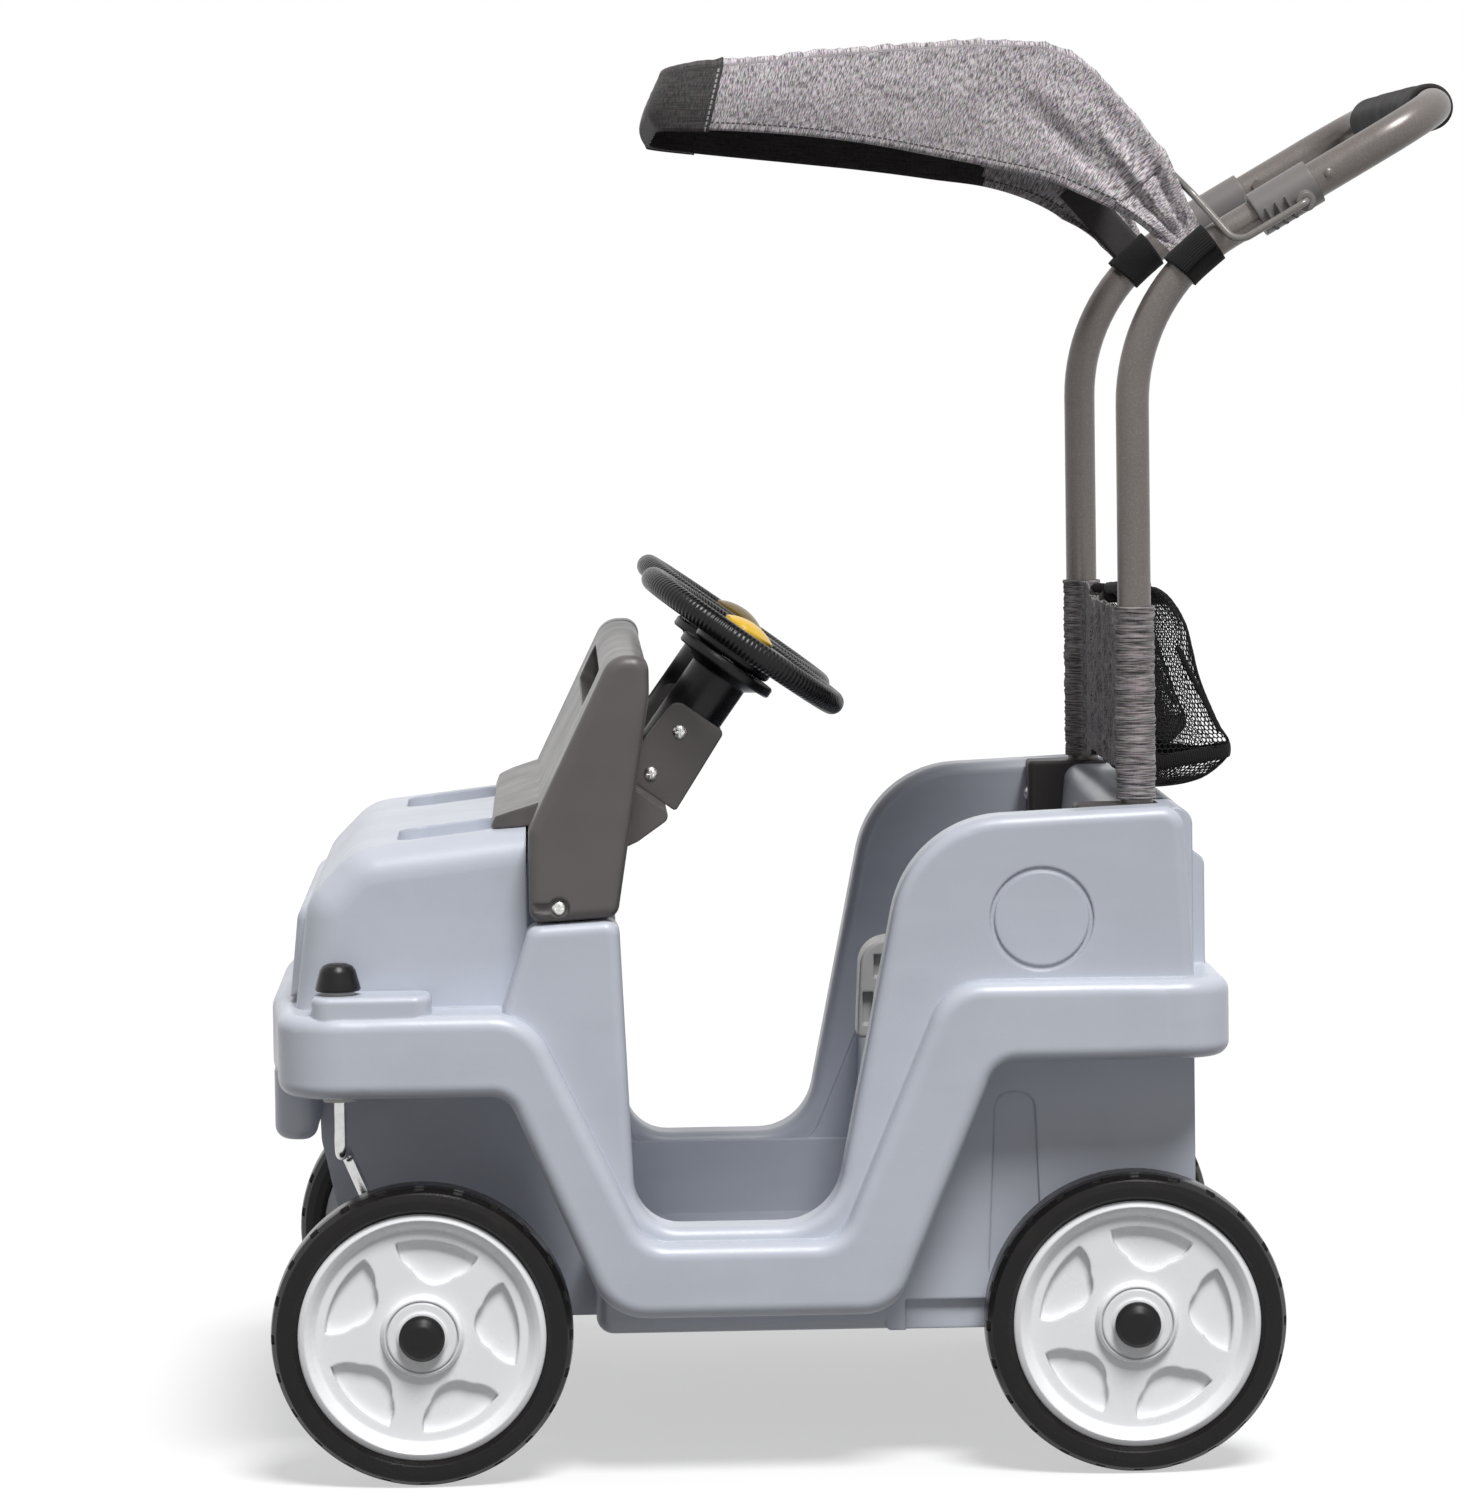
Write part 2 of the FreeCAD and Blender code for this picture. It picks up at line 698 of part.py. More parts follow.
def body_shell():
    pieces = both_sides(side_panel()) + both_sides(trim_band())
    pieces += [front_bumper(), rear_bumper(), chin(), hood(), grille(), front_hull(nose_y, 0)]
    pieces += [cabin_floor(), seat_base(), backrest(), rear_panel()]
    for _, side in SIDES:
        pieces += [caster_pad(side), seat_wall(side)]
    shell = pieces[0].multiFuse(pieces[1:])
    shell = shell.cut([
        front_hull(nose_y - shell_wall, 22),
        block((160, dash_x + 20), (-nose_y + shell_wall, nose_y - shell_wall), (fender_low, wall_top - 45)),
        hood_hollow(),
        block((seat_x + 4, 218), (-cabin_y + shell_wall, cabin_y - shell_wall), (floor_top, wall_top)),
        block((rear_x + shell_wall, seat_x - 16), (-cabin_y + shell_wall, cabin_y - shell_wall),
              (bottom - 5, seat_top - shell_wall)),
    ] + [hull_undercut(side) for _, side in SIDES])
    shell = shell.fuse([axle_boss(side) for _, side in SIDES])
    cuts = [Part.makeCylinder(mm("axle_radius") + 0.1, 2 * band_y,
                              Vector(rear_axle_x, -band_y, mm("wheel_radius")), Vector(0, 1, 0))]
    for _, side in SIDES:
        well = block((318, 412), (nose_y + 14, caster_y - 20), (fender_low - 60, fender_high - 25))
        cuts.append(on_side(well, side))
        bush_foot = Vector(caster_x, side * caster_y, fender_low - 60)
        tube_foot = Vector(tube_x, side * tube_y, mm("tube_foot"))
        cuts.append(Part.makeCylinder(float(bush_radius), 220, bush_foot))
        cuts.append(Part.makeCylinder(mm("tube_radius") + 0.2, wall_top, tube_foot))
        cuts += [seat_hollow(side), hood_tray(side), hull_recess(side)]
        cuts.append(socket_block(side, SOCKET_CLEAR, wall_top + 20))
        cuts.append(ring_groove(side))
    return solid_of(shell.cut(cuts).removeSplitter())


feature("body_shell", body_shell())

# Windscreen and dash: two legs, a slanted panel with a grab slot, a lip on the hood and a binnacle.

dash_top, slot_half = mm("dash_top"), mm("grab_slot_half_width")
tilt = math.radians(mm("steer_tilt"))
steer = Vector(mm("steer_x"), 0, dash_top)
column = Vector(math.sin(tilt), 0, -math.cos(tilt))
across = Vector(math.cos(tilt), 0, math.sin(tilt))


def column_point(along, sideways):
    return steer + column * along + across * sideways


def dash_height(share):
    """Height at a share of the way from the foot of the dash to its top."""
    return dash_base + share * (dash_top - dash_base)


def windscreen_dash():
    leg = side_prism([
        (dash_x, dash_base - 4, 11), (dash_x, dash_height(0.336), 12), (dash_x - 68, dash_top - 1, 21),
        (dash_x - 99, dash_top - 1, 13), (dash_x - 99, dash_height(0.84), 60), (206, dash_base, 11),
    ], cabin_y + 0.4, body_y)
    leg = soften(leg, 10, ("y", body_y), ("y", cabin_y + 0.4))
    panel = side_prism([
        (dash_x, dash_base + 8, 3), (dash_x, dash_height(0.336), 12), (dash_x - 68, dash_top - 2, 20),
        (dash_x - 98, dash_top - 2, 13), (dash_x - 98, dash_height(0.86), 30),
        (dash_x - 30, dash_height(0.178), 30), (dash_x - 30, dash_base + 8, 3),
    ], -cabin_y - 6, cabin_y + 6)
    lip_foot = hood_top(dash_x + 2) + 0.3
    lip = side_prism([
        (dash_x - 12, lip_foot + 1.5, 2), (dash_x + 31, hood_top(dash_x + 31) + 0.7, 2),
        (dash_x + 27, lip_foot + 7, 4), (dash_x + 14, lip_foot + 12, 8), (dash_x - 12, lip_foot + 20, 3),
    ], -hood_y + 24, hood_y - 24)
    lip = lip.common(plan_prism([
        (dash_x - 20, -hood_y + 24, 0), (dash_x + 32, -hood_y + 24, 30), (dash_x + 32, hood_y - 24, 30),
        (dash_x - 20, hood_y - 24, 0),
    ], lip_foot - 20, lip_foot + 40))
    tip = column_point(mm("column_length"), -30)
    rise = column_point(mm("column_length"), 62)
    binnacle = side_prism([
        (tip.x, tip.z, 7), (rise.x, rise.z, 4), (dash_x - 14, dash_height(0.439), 3),
        (dash_x - 14, dash_base + 20, 3), (tip.x + 30, tip.z - 21, 10),
    ], -mm("dash_half_width"), mm("dash_half_width"))
    dash = leg.multiFuse([leg.mirror(Vector(0, 0, 0), Vector(0, 1, 0)), panel, lip, binnacle])
    slot_low = Vector(dash_x - 43, 0, dash_top - 48)
    slant = Vector(-68, 0, dash_top - dash_height(0.336))
    slant.normalize()
    outward = Vector(slant.z, 0, -slant.x)
    height = mm("grab_slot_height")
    slot = Part.Face(rounded_wire([
        (-slot_half, 0, 14), (slot_half, 0, 14), (slot_half, height, 14), (-slot_half, height, 14),
    ], lambda y, up: slot_low + slant * up - outward * 80 + Vector(0, y, 0))).extrude(outward * 160)
    recesses = []
    for _, side in SIDES:
        head = Part.makeCylinder(mm("screw_head") + 2.5, 6, Vector(253, side * (body_y - 3), dash_base + 9),
                                 Vector(0, side, 0))
        groove = block((253, dash_x + 10), (body_y - 3, body_y + 3), (dash_base + 5, dash_base + 13))
        recesses += [head, on_side(groove, side)]
    return solid_of(dash.cut([slot] + recesses).removeSplitter())


feature("windscreen_dash", windscreen_dash())


def screw(base, direction, shank):
    """Pan head on a short shank, its head's underside at base."""
    radius = mm("screw_head")
    head = Part.makeSphere(radius * 1.25, base - direction * radius * 0.75, direction)
    head = head.common(Part.makeCylinder(radius, radius, base, direction))
    body = Part.makeCylinder(radius * 0.4, shank, base - direction * shank, direction)
    cross = Part.makeBox(radius * 1.3, 1.4, 2, Vector(-radius * 0.65, -0.7, 0)).fuse(
        Part.makeBox(1.4, radius * 1.3, 2, Vector(-0.7, -radius * 0.65, 0)))
    cross.Placement = Placement(base + direction * radius * 0.32, Rotation(Vector(0, 0, 1), direction))
    return solid_of(head.fuse(body).cut(cross))


def screw_hole(base, direction, shank):
    return Part.makeCylinder(mm("screw_head") * 0.4, shank, base - direction * shank, direction)


def drill(label, holes):
    target = [n for n in nodes if n.Label == label][0]
    target.Shape = solid_of(target.Shape.cut(holes))


dash_screws = [(Vector(253, side * (body_y - 3), dash_base + 9), Vector(0, side, 0)) for _, side in SIDES]
feature("dash_screws", Part.Compound([screw(base, out, 18) for base, out in dash_screws]))
drill("windscreen_dash", [screw_hole(base, out, 18) for base, out in dash_screws])

# Steering: bracket on the binnacle, column housing, wheel on its shaft, sprung horn button.

bracket_half = mm("housing_radius") + 0.4 + mm("bracket_wall")
bracket_screw_ends = []
for name, side in SIDES:
    centre_y = side * mm("steer_y")

    def steering_frame(along, sideways=0.0, lateral=0.0):
        return column_point(along, sideways) + Vector(0, centre_y + lateral, 0)

    length, wall = mm("column_length"), mm("bracket_wall")
    plate = Part.Face(rounded_wire([
        (length, -33, 3), (length - mm("bracket_length"), -29, 5), (length - mm("bracket_length"), 20, 10),
        (length, 24, 3),
    ], lambda along, sideways: steering_frame(along, sideways, -bracket_half)))
    bracket = plate.extrude(Vector(0, 2 * bracket_half, 0))
    channel = Part.Face(rounded_wire([
        (length - wall, -80, 0), (length - 200, -80, 0), (length - 200, 80, 0), (length - wall, 80, 0),
    ], lambda along, sideways: steering_frame(along, sideways, -bracket_half + wall)))
    bracket = bracket.cut(channel.extrude(Vector(0, 2 * (bracket_half - wall), 0)))
    feature(f"steering_bracket_{name}", bracket)

    housing_radius, shaft_radius = mm("housing_radius"), mm("shaft_radius")
    flange_radius = mm("flange_radius")
    tall = Part.makeCylinder(housing_radius, length - wall - 6 - 29, steering_frame(29), column)
    neck = Part.makeCone(flange_radius - 8, housing_radius, 7, steering_frame(28), column)
    flange = Part.makeCylinder(flange_radius, 9, steering_frame(19.5), column)
    flange = flange.makeChamfer(1.5, [e for e in flange.Edges if e.Closed])
    housing = tall.multiFuse([neck, flange])
    bore = Part.makeCylinder(shaft_radius + mm("running_gap"), length - 40 - 15, steering_frame(15), column)
    housing = solid_of(housing.cut(bore).removeSplitter())
    feature(f"steering_column_{name}", housing)

    screws = []
    for along in (length - 56, length - 14):
        for lateral in (-1, 1):
            screws.append((steering_frame(along, 1.5, lateral * bracket_half), Vector(0, lateral, 0)))
    bracket_screw_ends += screws
    holes = [screw_hole(base, out, 12) for base, out in screws]
    drill(f"steering_bracket_{name}", holes)
    drill(f"steering_column_{name}", holes)

    hub_top, hub_low = -7.0, 18.5
    shaft_length = length - 38 - hub_low
    shaft = Part.makeCylinder(shaft_radius, shaft_length, steering_frame(hub_low - 10), column)
    feature(f"steering_shaft_{name}", shaft)

    grip = mm("grip_radius")
    rim_mid = mm("steer_radius") - grip
    rim = Part.makeTorus(rim_mid, grip, steering_frame(0), column)
    hub = Part.makeCylinder(36, hub_low - hub_top, steering_frame(hub_top), column)
    hub = hub.makeFillet(4, [e for e in hub.Edges if e.Closed])
    spokes = []
    for angle in (30, 150, 270):
        spoke = plan_prism([(20, -17, 0), (20, 17, 0), (rim_mid, 13, 0), (rim_mid, -13, 0)], -5, 7)
        spoke.rotate(Vector(0, 0, 0), Vector(0, 0, 1), angle)
        spokes.append(spoke)
    # local spoke axes: first along Y, second along the wheel's slope, third up the column
    lie = Rotation(Vector(0, 1, 0), across * -1, column * -1, "ZXY")
    for spoke in spokes:
        spoke.Placement = Placement(steering_frame(0), lie).multiply(spoke.Placement)
    wheel = rim.multiFuse([hub] + spokes)
    horn_radius, well_depth = mm("horn_radius"), mm("horn_travel") + 10
    well = Part.makeCylinder(horn_radius + 0.4, well_depth + 1, steering_frame(hub_top - 1), column)
    socket = Part.makeCylinder(shaft_radius + mm("running_gap"), 10.5, steering_frame(hub_low - 10), column)
    wheel = solid_of(wheel.cut([well, socket]).removeSplitter())
    feature(f"steering_wheel_{name}", wheel)

    skirt = Part.makeCylinder(horn_radius, 9.5, steering_frame(hub_top - 3), column)
    crown = Part.makeSphere(horn_radius * 1.9, steering_frame(hub_top + horn_radius * 1.9 - 10))
    crown = crown.common(Part.makeCylinder(horn_radius, 14, steering_frame(hub_top - 12), column))
    button = solid_of(skirt.fuse(crown).removeSplitter())
    feature(f"horn_button_{name}", button)
    spring = Part.makeCylinder(9, well_depth - 6.7, steering_frame(hub_top + 6.6), column).cut(
        Part.makeCylinder(6.5, 20, steering_frame(hub_top), column))
    feature(f"horn_spring_{name}", spring)

feature("bracket_screws", Part.Compound([screw(base, out, 11) for base, out in bracket_screw_ends]))

# Push handle: two lower tubes, an upper U, a foam grip, canopy clips, cuffs and bolts.

slope = math.radians(mm("handle_slope"))
handle_corner = Vector(tube_x, 0, mm("handle_corner_z"))
handle_line = Vector(-math.cos(slope), 0, math.sin(slope))


def handle_point(station, y):
    return handle_corner + handle_line * station + Vector(0, y, 0)


tube_outer, tube_inner = mm("tube_radius"), mm("tube_radius") - mm("tube_wall")
upper_outer, upper_inner = mm("upper_tube_radius"), mm("tube_radius") + 0.1


def bolt_axis(side):
    return handle_point(mm("bolt_station"), side * tube_y)


def lower_path(side, extra):
    return rounded_path([
        (Vector(tube_x, side * tube_y, mm("tube_foot") - extra), 0),
        (handle_point(0, side * tube_y), mm("handle_bend")),
        (handle_point(mm("lower_end") + extra, side * tube_y), 0),
    ])


def upper_path(start):
    return rounded_path([
        (handle_point(start, tube_y), 0), (handle_point(mm("handle_reach"), tube_y), mm("handle_corner")),
        (handle_point(mm("handle_reach"), -tube_y), mm("handle_corner")), (handle_point(start, -tube_y), 0),
    ])


bolt_radius = 3.0
bolt_holes = [Part.makeCylinder(bolt_radius, 60, bolt_axis(side) - Vector(0, 30, 0), Vector(0, 1, 0))
              for _, side in SIDES]
for name, side in SIDES:
    lower = tube(lower_path(side, 0), tube_outer, tube_inner, lower_path(side, 5))
    feature(f"handle_tube_{name}", solid_of(lower.cut(bolt_holes)))
upper = tube(upper_path(mm("upper_start")), upper_outer, upper_inner, upper_path(mm("upper_start") - 5))
feature("handle_upper", solid_of(upper.cut(bolt_holes)))
foam_half = tube_y - mm("handle_corner") - mm("foam_lead")
foam_end = handle_point(mm("handle_reach"), -foam_half)
foam = Part.makeCylinder(mm("foam_radius"), 2 * foam_half, foam_end, Vector(0, 1, 0)).cut(
    Part.makeCylinder(upper_outer + 0.05, 2 * foam_half, foam_end, Vector(0, 1, 0)))
feature("handle_grip", solid_of(foam))

bolts = []
for _, side in SIDES:
    seat = bolt_axis(side) + Vector(0, side * upper_outer, 0)
    outward = Vector(0, side, 0)
    shank = Part.makeCylinder(bolt_radius, 2 * upper_outer + 6, seat + outward * 1, outward * -1)
    head = Part.makeSphere(5.6, seat - outward * 3.4, outward).common(
        Part.makeCylinder(4.5, 8, seat + outward * 0.5, outward))
    nut_seat = bolt_axis(side) - outward * (upper_outer + 0.5)
    nut = Part.Face(Part.makePolygon([
        nut_seat + Vector(5.8 * math.cos(turn), 0, 5.8 * math.sin(turn))
        for turn in [math.radians(60 * step) for step in range(7)]])).extrude(outward * -5)
    bolts.append(solid_of(shank.multiFuse([head, nut]).removeSplitter()))
feature("handle_bolts", Part.Compound(bolts))

for name, side in SIDES:
    socket = socket_block(side, 0, wall_top - 2)
    bore = Part.makeCylinder(mm("tube_radius") + 0.1, 300, Vector(tube_x, side * tube_y, SOCKET_LOW - 20))
    socket = soften(socket, 3, ("z", wall_top - 2)).cut(bore)
    feature(f"handle_socket_{name}", solid_of(socket))

socket_screw_ends = []
for _, side in SIDES:
    for height in (35, 78):
        head = Vector(tube_x + 51, side * (tube_y - 4), SOCKET_LOW + height)
        socket_screw_ends.append((head, Vector(1, 0, 0)))
socket_holes = [screw_hole(base, out, 22) for base, out in socket_screw_ends]
for name, _ in SIDES:
    drill(f"handle_socket_{name}", socket_holes)
feature("socket_screws", Part.Compound([screw(base, out, 22) for base, out in socket_screw_ends]))

clip_outer = upper_outer + 0.1 + mm("clip_wall")
arm_y, wire = mm("arm_y"), mm("wire_radius")
boss_end = arm_y - 5.5
upright = Vector(handle_line.z, 0, -handle_line.x)
pivot = handle_point(mm("pivot_station"), 0) - upright * mm("pivot_drop")
for name, side in SIDES:
    start, length = mm("upper_start") + 0.5, mm("clip_length")
    origin = handle_point(start, side * tube_y)
    sleeve = Part.makeCylinder(clip_outer, length, origin, handle_line)
    outward = Vector(0, side, 0)
    boss_shape = Part.makeCylinder(8, boss_end - tube_y - 2, pivot + outward * (tube_y + 2), outward)
    ribs = []
    for station in (8, 17, 26):
        at_rib = handle_point(start + station, 0) - upright * mm("pivot_drop")
        rib = Part.Face(Part.makePolygon([
            at_rib + upright * up + handle_line * along + outward * (tube_y + 8)
            for up, along in ((-8, -1.2), (12, -1.2), (12, 1.2), (-8, 1.2), (-8, -1.2))
        ])).extrude(outward * (boss_end - 2 - tube_y - 8))
        ribs.append(rib)
    clip = sleeve.multiFuse([boss_shape] + ribs)
    bore_start = handle_point(start - 5, side * tube_y)
    clip = clip.cut([
        Part.makeCylinder(upper_outer + 0.1, length + 10, bore_start, handle_line),
        Part.makeCylinder(wire + mm("running_gap"), 20, pivot + outward * (boss_end - 7.5), outward),
    ])
    feature(f"canopy_clip_{name}", solid_of(clip.removeSplitter()))

    cuff_turn = math.radians(mm("cuff_angle"))
    bend = mm("handle_bend")
    tangent_reach = bend * math.tan((math.pi / 2 - slope) / 2)
    bend_centre = Vector(tube_x - bend, side * tube_y, mm("handle_corner_z") - tangent_reach)
    cuff_mid = bend_centre + Vector(bend * math.cos(cuff_turn), 0, bend * math.sin(cuff_turn))
    cuff_line = Vector(-math.sin(cuff_turn), 0, math.cos(cuff_turn))
    cuff_low = cuff_mid - cuff_line * (mm("cuff_length") / 2)
    sagging = (mm("cuff_length") / 2) ** 2 / (2 * bend)
    inner = tube_outer + sagging + 0.4
    cuff = Part.makeCylinder(inner + 2.2, mm("cuff_length"), cuff_low, cuff_line).cut(
        Part.makeCylinder(inner, mm("cuff_length") + 4, cuff_low - cuff_line * 2, cuff_line))
    feature(f"strap_cuff_{name}", solid_of(cuff))

# Canopy: a wire frame that turns in the clips, a cloth cover and a front valance.

cloth = mm("canopy_cloth")
cover_y, cover_front, cover_top = mm("canopy_half_width"), mm("canopy_front_x"), mm("canopy_top")
wire_y = cover_y - cloth - wire - 0.3
half_frame = [
    (Vector(pivot.x, boss_end - 6.5, pivot.z), 0), (Vector(pivot.x, arm_y, pivot.z), 5),
    (handle_point(90, arm_y) - upright * mm("pivot_drop"), 14), (Vector(-268, wire_y, cover_top - 125), 20),
    (Vector(-153, wire_y, cover_top - 10), 34), (Vector(cover_front - 19, wire_y, cover_top - 25), 30),
]
frame_path = rounded_path(half_frame + [(Vector(p.x, -p.y, p.z), r) for p, r in reversed(half_frame)])
feature("canopy_frame", pipe(frame_path, wire))

cover_outline = [
    (cover_front, cover_top - 67, 3), (cover_front + 1, cover_top - 44, 14),
    (cover_front - 12, cover_top - 18, 16), (-116, cover_top, 400),
    (-158, cover_top - 2, 45), (-249, cover_top - 94, 8), (-264, cover_top - 138, 10),
    (-246, cover_top - 171, 12), (-181, cover_top - 129, 90), (-111, cover_top - 102, 120),
    (-24, cover_top - 79, 200), (107, cover_top - 69, 200),
]
hollow_outline = [
    (cover_front - cloth, cover_top - 260, 0), (cover_front + 1 - cloth, cover_top - 44, 11),
    (cover_front - 12 - cloth + 0.6, cover_top - 18 - cloth + 0.6, 13), (-116, cover_top - cloth, 400),
    (-157, cover_top - 2 - cloth, 42), (-247, cover_top - 94, 6), (-320, cover_top - 180, 0),
    (-320, cover_top - 260, 0),
]
whole_cover = side_prism(cover_outline, -cover_y, cover_y).cut(
    side_prism(hollow_outline, -cover_y + cloth, cover_y - cloth))
seam = mm("canopy_seam_x")
ahead = block((seam, cover_front + 100), (-cover_y - 50, cover_y + 50), (cover_top - 300, cover_top - 17))
feature("canopy_cover", solid_of(whole_cover.cut(ahead)))
feature("canopy_valance", solid_of(whole_cover.common(ahead)))

# Storage bag: a panel with sleeves on the tubes and a pouch behind it.

bag_low, bag_high, bag_cloth = mm("bag_bottom"), mm("bag_top"), mm("bag_cloth")
sleeve_inner = tube_outer + 0.4
panel = block((tube_x - bag_cloth / 2, tube_x + bag_cloth / 2), (-tube_y, tube_y), (bag_low, bag_high))
sleeves, bores = [], []
for _, side in SIDES:
    sleeve_low = Vector(tube_x, side * tube_y, bag_low - 7.5)
    sleeves.append(Part.makeCylinder(sleeve_inner + bag_cloth, bag_high - bag_low + 7.5, sleeve_low))
    bores.append(Part.makeCylinder(sleeve_inner, bag_high - bag_low + 30, sleeve_low - Vector(0, 0, 10)))
feature("bag_panel", solid_of(panel.multiFuse(sleeves).cut(bores).removeSplitter()))

pouch_y, pouch_back = mm("pouch_half_width"), tube_x - bag_cloth / 2
deep = mm("pouch_depth")


def pouch_outline(inset, mouth):
    front = pouch_back + (40 if inset else 0)

    def back(share):
        return pouch_back - share * deep + inset

    return [
        (front, bag_high + mouth, 0), (back(0.26), bag_high + mouth + 2, 5), (back(0.47), bag_high - 8, 12),
        (back(0.59), bag_high - 48, 60), (back(0.98), bag_low + 34, 18 - inset),
        (back(0.76), bag_low + 11 + inset, 16 - inset), (back(0.43), bag_low + inset, 20 - inset),
        (front, bag_low + 4 + inset, 0),
    ]


pouch = side_prism(pouch_outline(0, 6), -pouch_y, pouch_y).cut(
    side_prism(pouch_outline(bag_cloth, 60), -pouch_y + bag_cloth, pouch_y - bag_cloth))
feature("bag_pouch", solid_of(pouch))

# Seat console between the two seats, with three slots sunk in each side.

console_long, console_wide, console_tall = mm("console_length"), mm("console_width"), mm("console_height")
console_x = seat_x + 15
console = side_prism([
    (console_x, seat_top + 0.3, 4), (console_x - 4, seat_top + console_tall - 8, 24),
    (console_x - 40, seat_top + console_tall, 60),
    (console_x - console_long, seat_top + console_tall - 14, 20),
    (console_x - console_long, seat_top + 0.3, 4),
], -console_wide / 2, console_wide / 2)
console = soften(console, 3, ("y", console_wide / 2), ("y", -console_wide / 2))
slots = []
for back, low, high in ((5, 12, 40), (15, 52, 72), (52, 22, 58)):
    slot = block((console_x - back - 9, console_x - back), (console_wide / 2 - 7, console_wide),
                 (seat_top + low, seat_top + high))
    slots += both_sides(slot)
feature("seat_console", solid_of(console.cut(slots)))

doc.recompute()

os.makedirs("parts", exist_ok=True)
for obj in doc.Objects:
    if "Invalid" in obj.State or "Error" in obj.State:
        raise RuntimeError(f"{obj.Label} did not recompute: {obj.State}")
for obj in nodes:
    if obj.Shape.isNull() or not obj.Shape.isValid():
        raise RuntimeError(f"{obj.Label} has no valid shape")
    obj.Shape.exportStep(f"parts/{obj.Label}.step")
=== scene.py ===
# %% [markdown]
# # A push car for two, with a handle and a sun canopy
#
# The hard parts of this car come from CAD as a fixed frame, in metres, with X forward, Y to the left and Z
# up. This lesson dresses that frame: it gives every moulded, painted and plated part a procedural finish,
# and it models the soft goods, which CAD only blocks out: the canopy, its straps, the storage bag, its net
# and the foam grip.

# %% Load the frame
import json
import math

import bmesh
import bpy
import numpy as np
from mathutils import Matrix, Vector


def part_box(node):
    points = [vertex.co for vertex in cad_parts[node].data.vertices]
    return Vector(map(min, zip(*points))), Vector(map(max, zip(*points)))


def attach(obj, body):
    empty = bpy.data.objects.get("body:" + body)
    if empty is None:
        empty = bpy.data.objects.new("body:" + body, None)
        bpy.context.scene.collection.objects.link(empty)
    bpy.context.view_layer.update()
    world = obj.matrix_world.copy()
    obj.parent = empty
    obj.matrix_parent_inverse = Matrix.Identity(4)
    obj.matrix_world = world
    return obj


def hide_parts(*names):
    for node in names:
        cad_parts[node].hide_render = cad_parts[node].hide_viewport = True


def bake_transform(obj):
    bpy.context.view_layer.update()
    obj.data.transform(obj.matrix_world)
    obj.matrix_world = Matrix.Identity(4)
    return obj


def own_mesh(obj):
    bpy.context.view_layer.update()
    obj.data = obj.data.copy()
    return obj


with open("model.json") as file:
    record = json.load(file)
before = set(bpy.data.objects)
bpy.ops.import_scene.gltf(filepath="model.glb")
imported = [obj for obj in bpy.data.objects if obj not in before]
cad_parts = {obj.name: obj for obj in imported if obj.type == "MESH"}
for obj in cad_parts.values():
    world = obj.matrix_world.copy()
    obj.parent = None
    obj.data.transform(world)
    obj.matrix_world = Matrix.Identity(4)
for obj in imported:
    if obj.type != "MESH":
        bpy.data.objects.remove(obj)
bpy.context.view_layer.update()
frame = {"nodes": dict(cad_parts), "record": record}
nodes = frame["nodes"]
scene = bpy.context.scene

# %% [markdown]
# ## The camera
#
# The picture was taken from about five metres, level with the handle, almost square to the car's left side.
# A long lens keeps the two handle tubes nearly on one line. The camera could be set by eye, but its place,
# turn and lens were solved from points that both the picture and the frame have, so every piece can be
# compared pixel by pixel.

# %% Camera
PICTURE_H = 1500.0
FOCAL_PX = 6125.6
CAMERA_YAW, CAMERA_PITCH, CAMERA_LEAN = (math.radians(angle) for angle in (1.628, 4.093, 0.847))
CAMERA_AT = Vector((0.2515, 5.2084, 0.9415))


def aim_camera(yaw, pitch, lean):
    """Axes of a camera that looks across the car: turned to the rear by yaw, down by pitch, then leaned."""
    level = Vector((-math.sin(yaw), -math.cos(yaw), 0))
    forward = level * math.cos(pitch) - Vector((0, 0, math.sin(pitch)))
    right = Vector((-math.cos(yaw), math.sin(yaw), 0))
    turn = Matrix((right, right.cross(forward), -forward)).transposed()
    return turn.to_4x4() @ Matrix.Rotation(-lean, 4, "Z")


camera_data = bpy.data.cameras.new("camera")
camera_data.lens = camera_data.sensor_width * FOCAL_PX / PICTURE_H
camera_data.clip_end = 60
camera = bpy.data.objects.new("camera", camera_data)
camera.matrix_world = Matrix.Translation(CAMERA_AT) @ aim_camera(CAMERA_YAW, CAMERA_PITCH, CAMERA_LEAN)
scene.collection.objects.link(camera)
scene.camera = camera
scene.view_settings.view_transform = "Standard"
print("lens", round(camera_data.lens, 1), "mm")

# %% [markdown]
# ## Small helpers for node trees and meshes
#
# Every finish is a tree of nodes and every soft piece is a grid of points. Writing the same calls again and
# again would hide what matters, so small helpers do it. They place a node and fill its inputs, or turn
# arrays into an object with its own UV map. A socket knows its tree, so most of them need no more than
# sockets.

# %% Node helpers
def place(tree, kind, inputs=None, **settings):
    """Add a node; an input that is a socket is linked, and any other input is set."""
    node = tree.nodes.new("ShaderNode" + kind)
    for key, value in settings.items():
        setattr(node, key, value)
    for key, value in (inputs or {}).items():
        if isinstance(value, bpy.types.NodeSocket):
            tree.links.new(value, node.inputs[key])
        else:
            node.inputs[key].default_value = value
    return node


def tree_of(*values):
    """Node tree of the first value that is a socket."""
    return next(value.id_data for value in values if isinstance(value, bpy.types.NodeSocket))


def maths(operation, a, b=0.0):
    """Result of a Math node."""
    return place(tree_of(a, b), "Math", {0: a, 1: b}, operation=operation).outputs[0]


def plus(a, b):
    """Sum of two values."""
    return maths("ADD", a, b)


def minus(a, b):
    """First value less the second."""
    return maths("SUBTRACT", a, b)


def times(a, b):
    """Product of two values."""
    return maths("MULTIPLY", a, b)


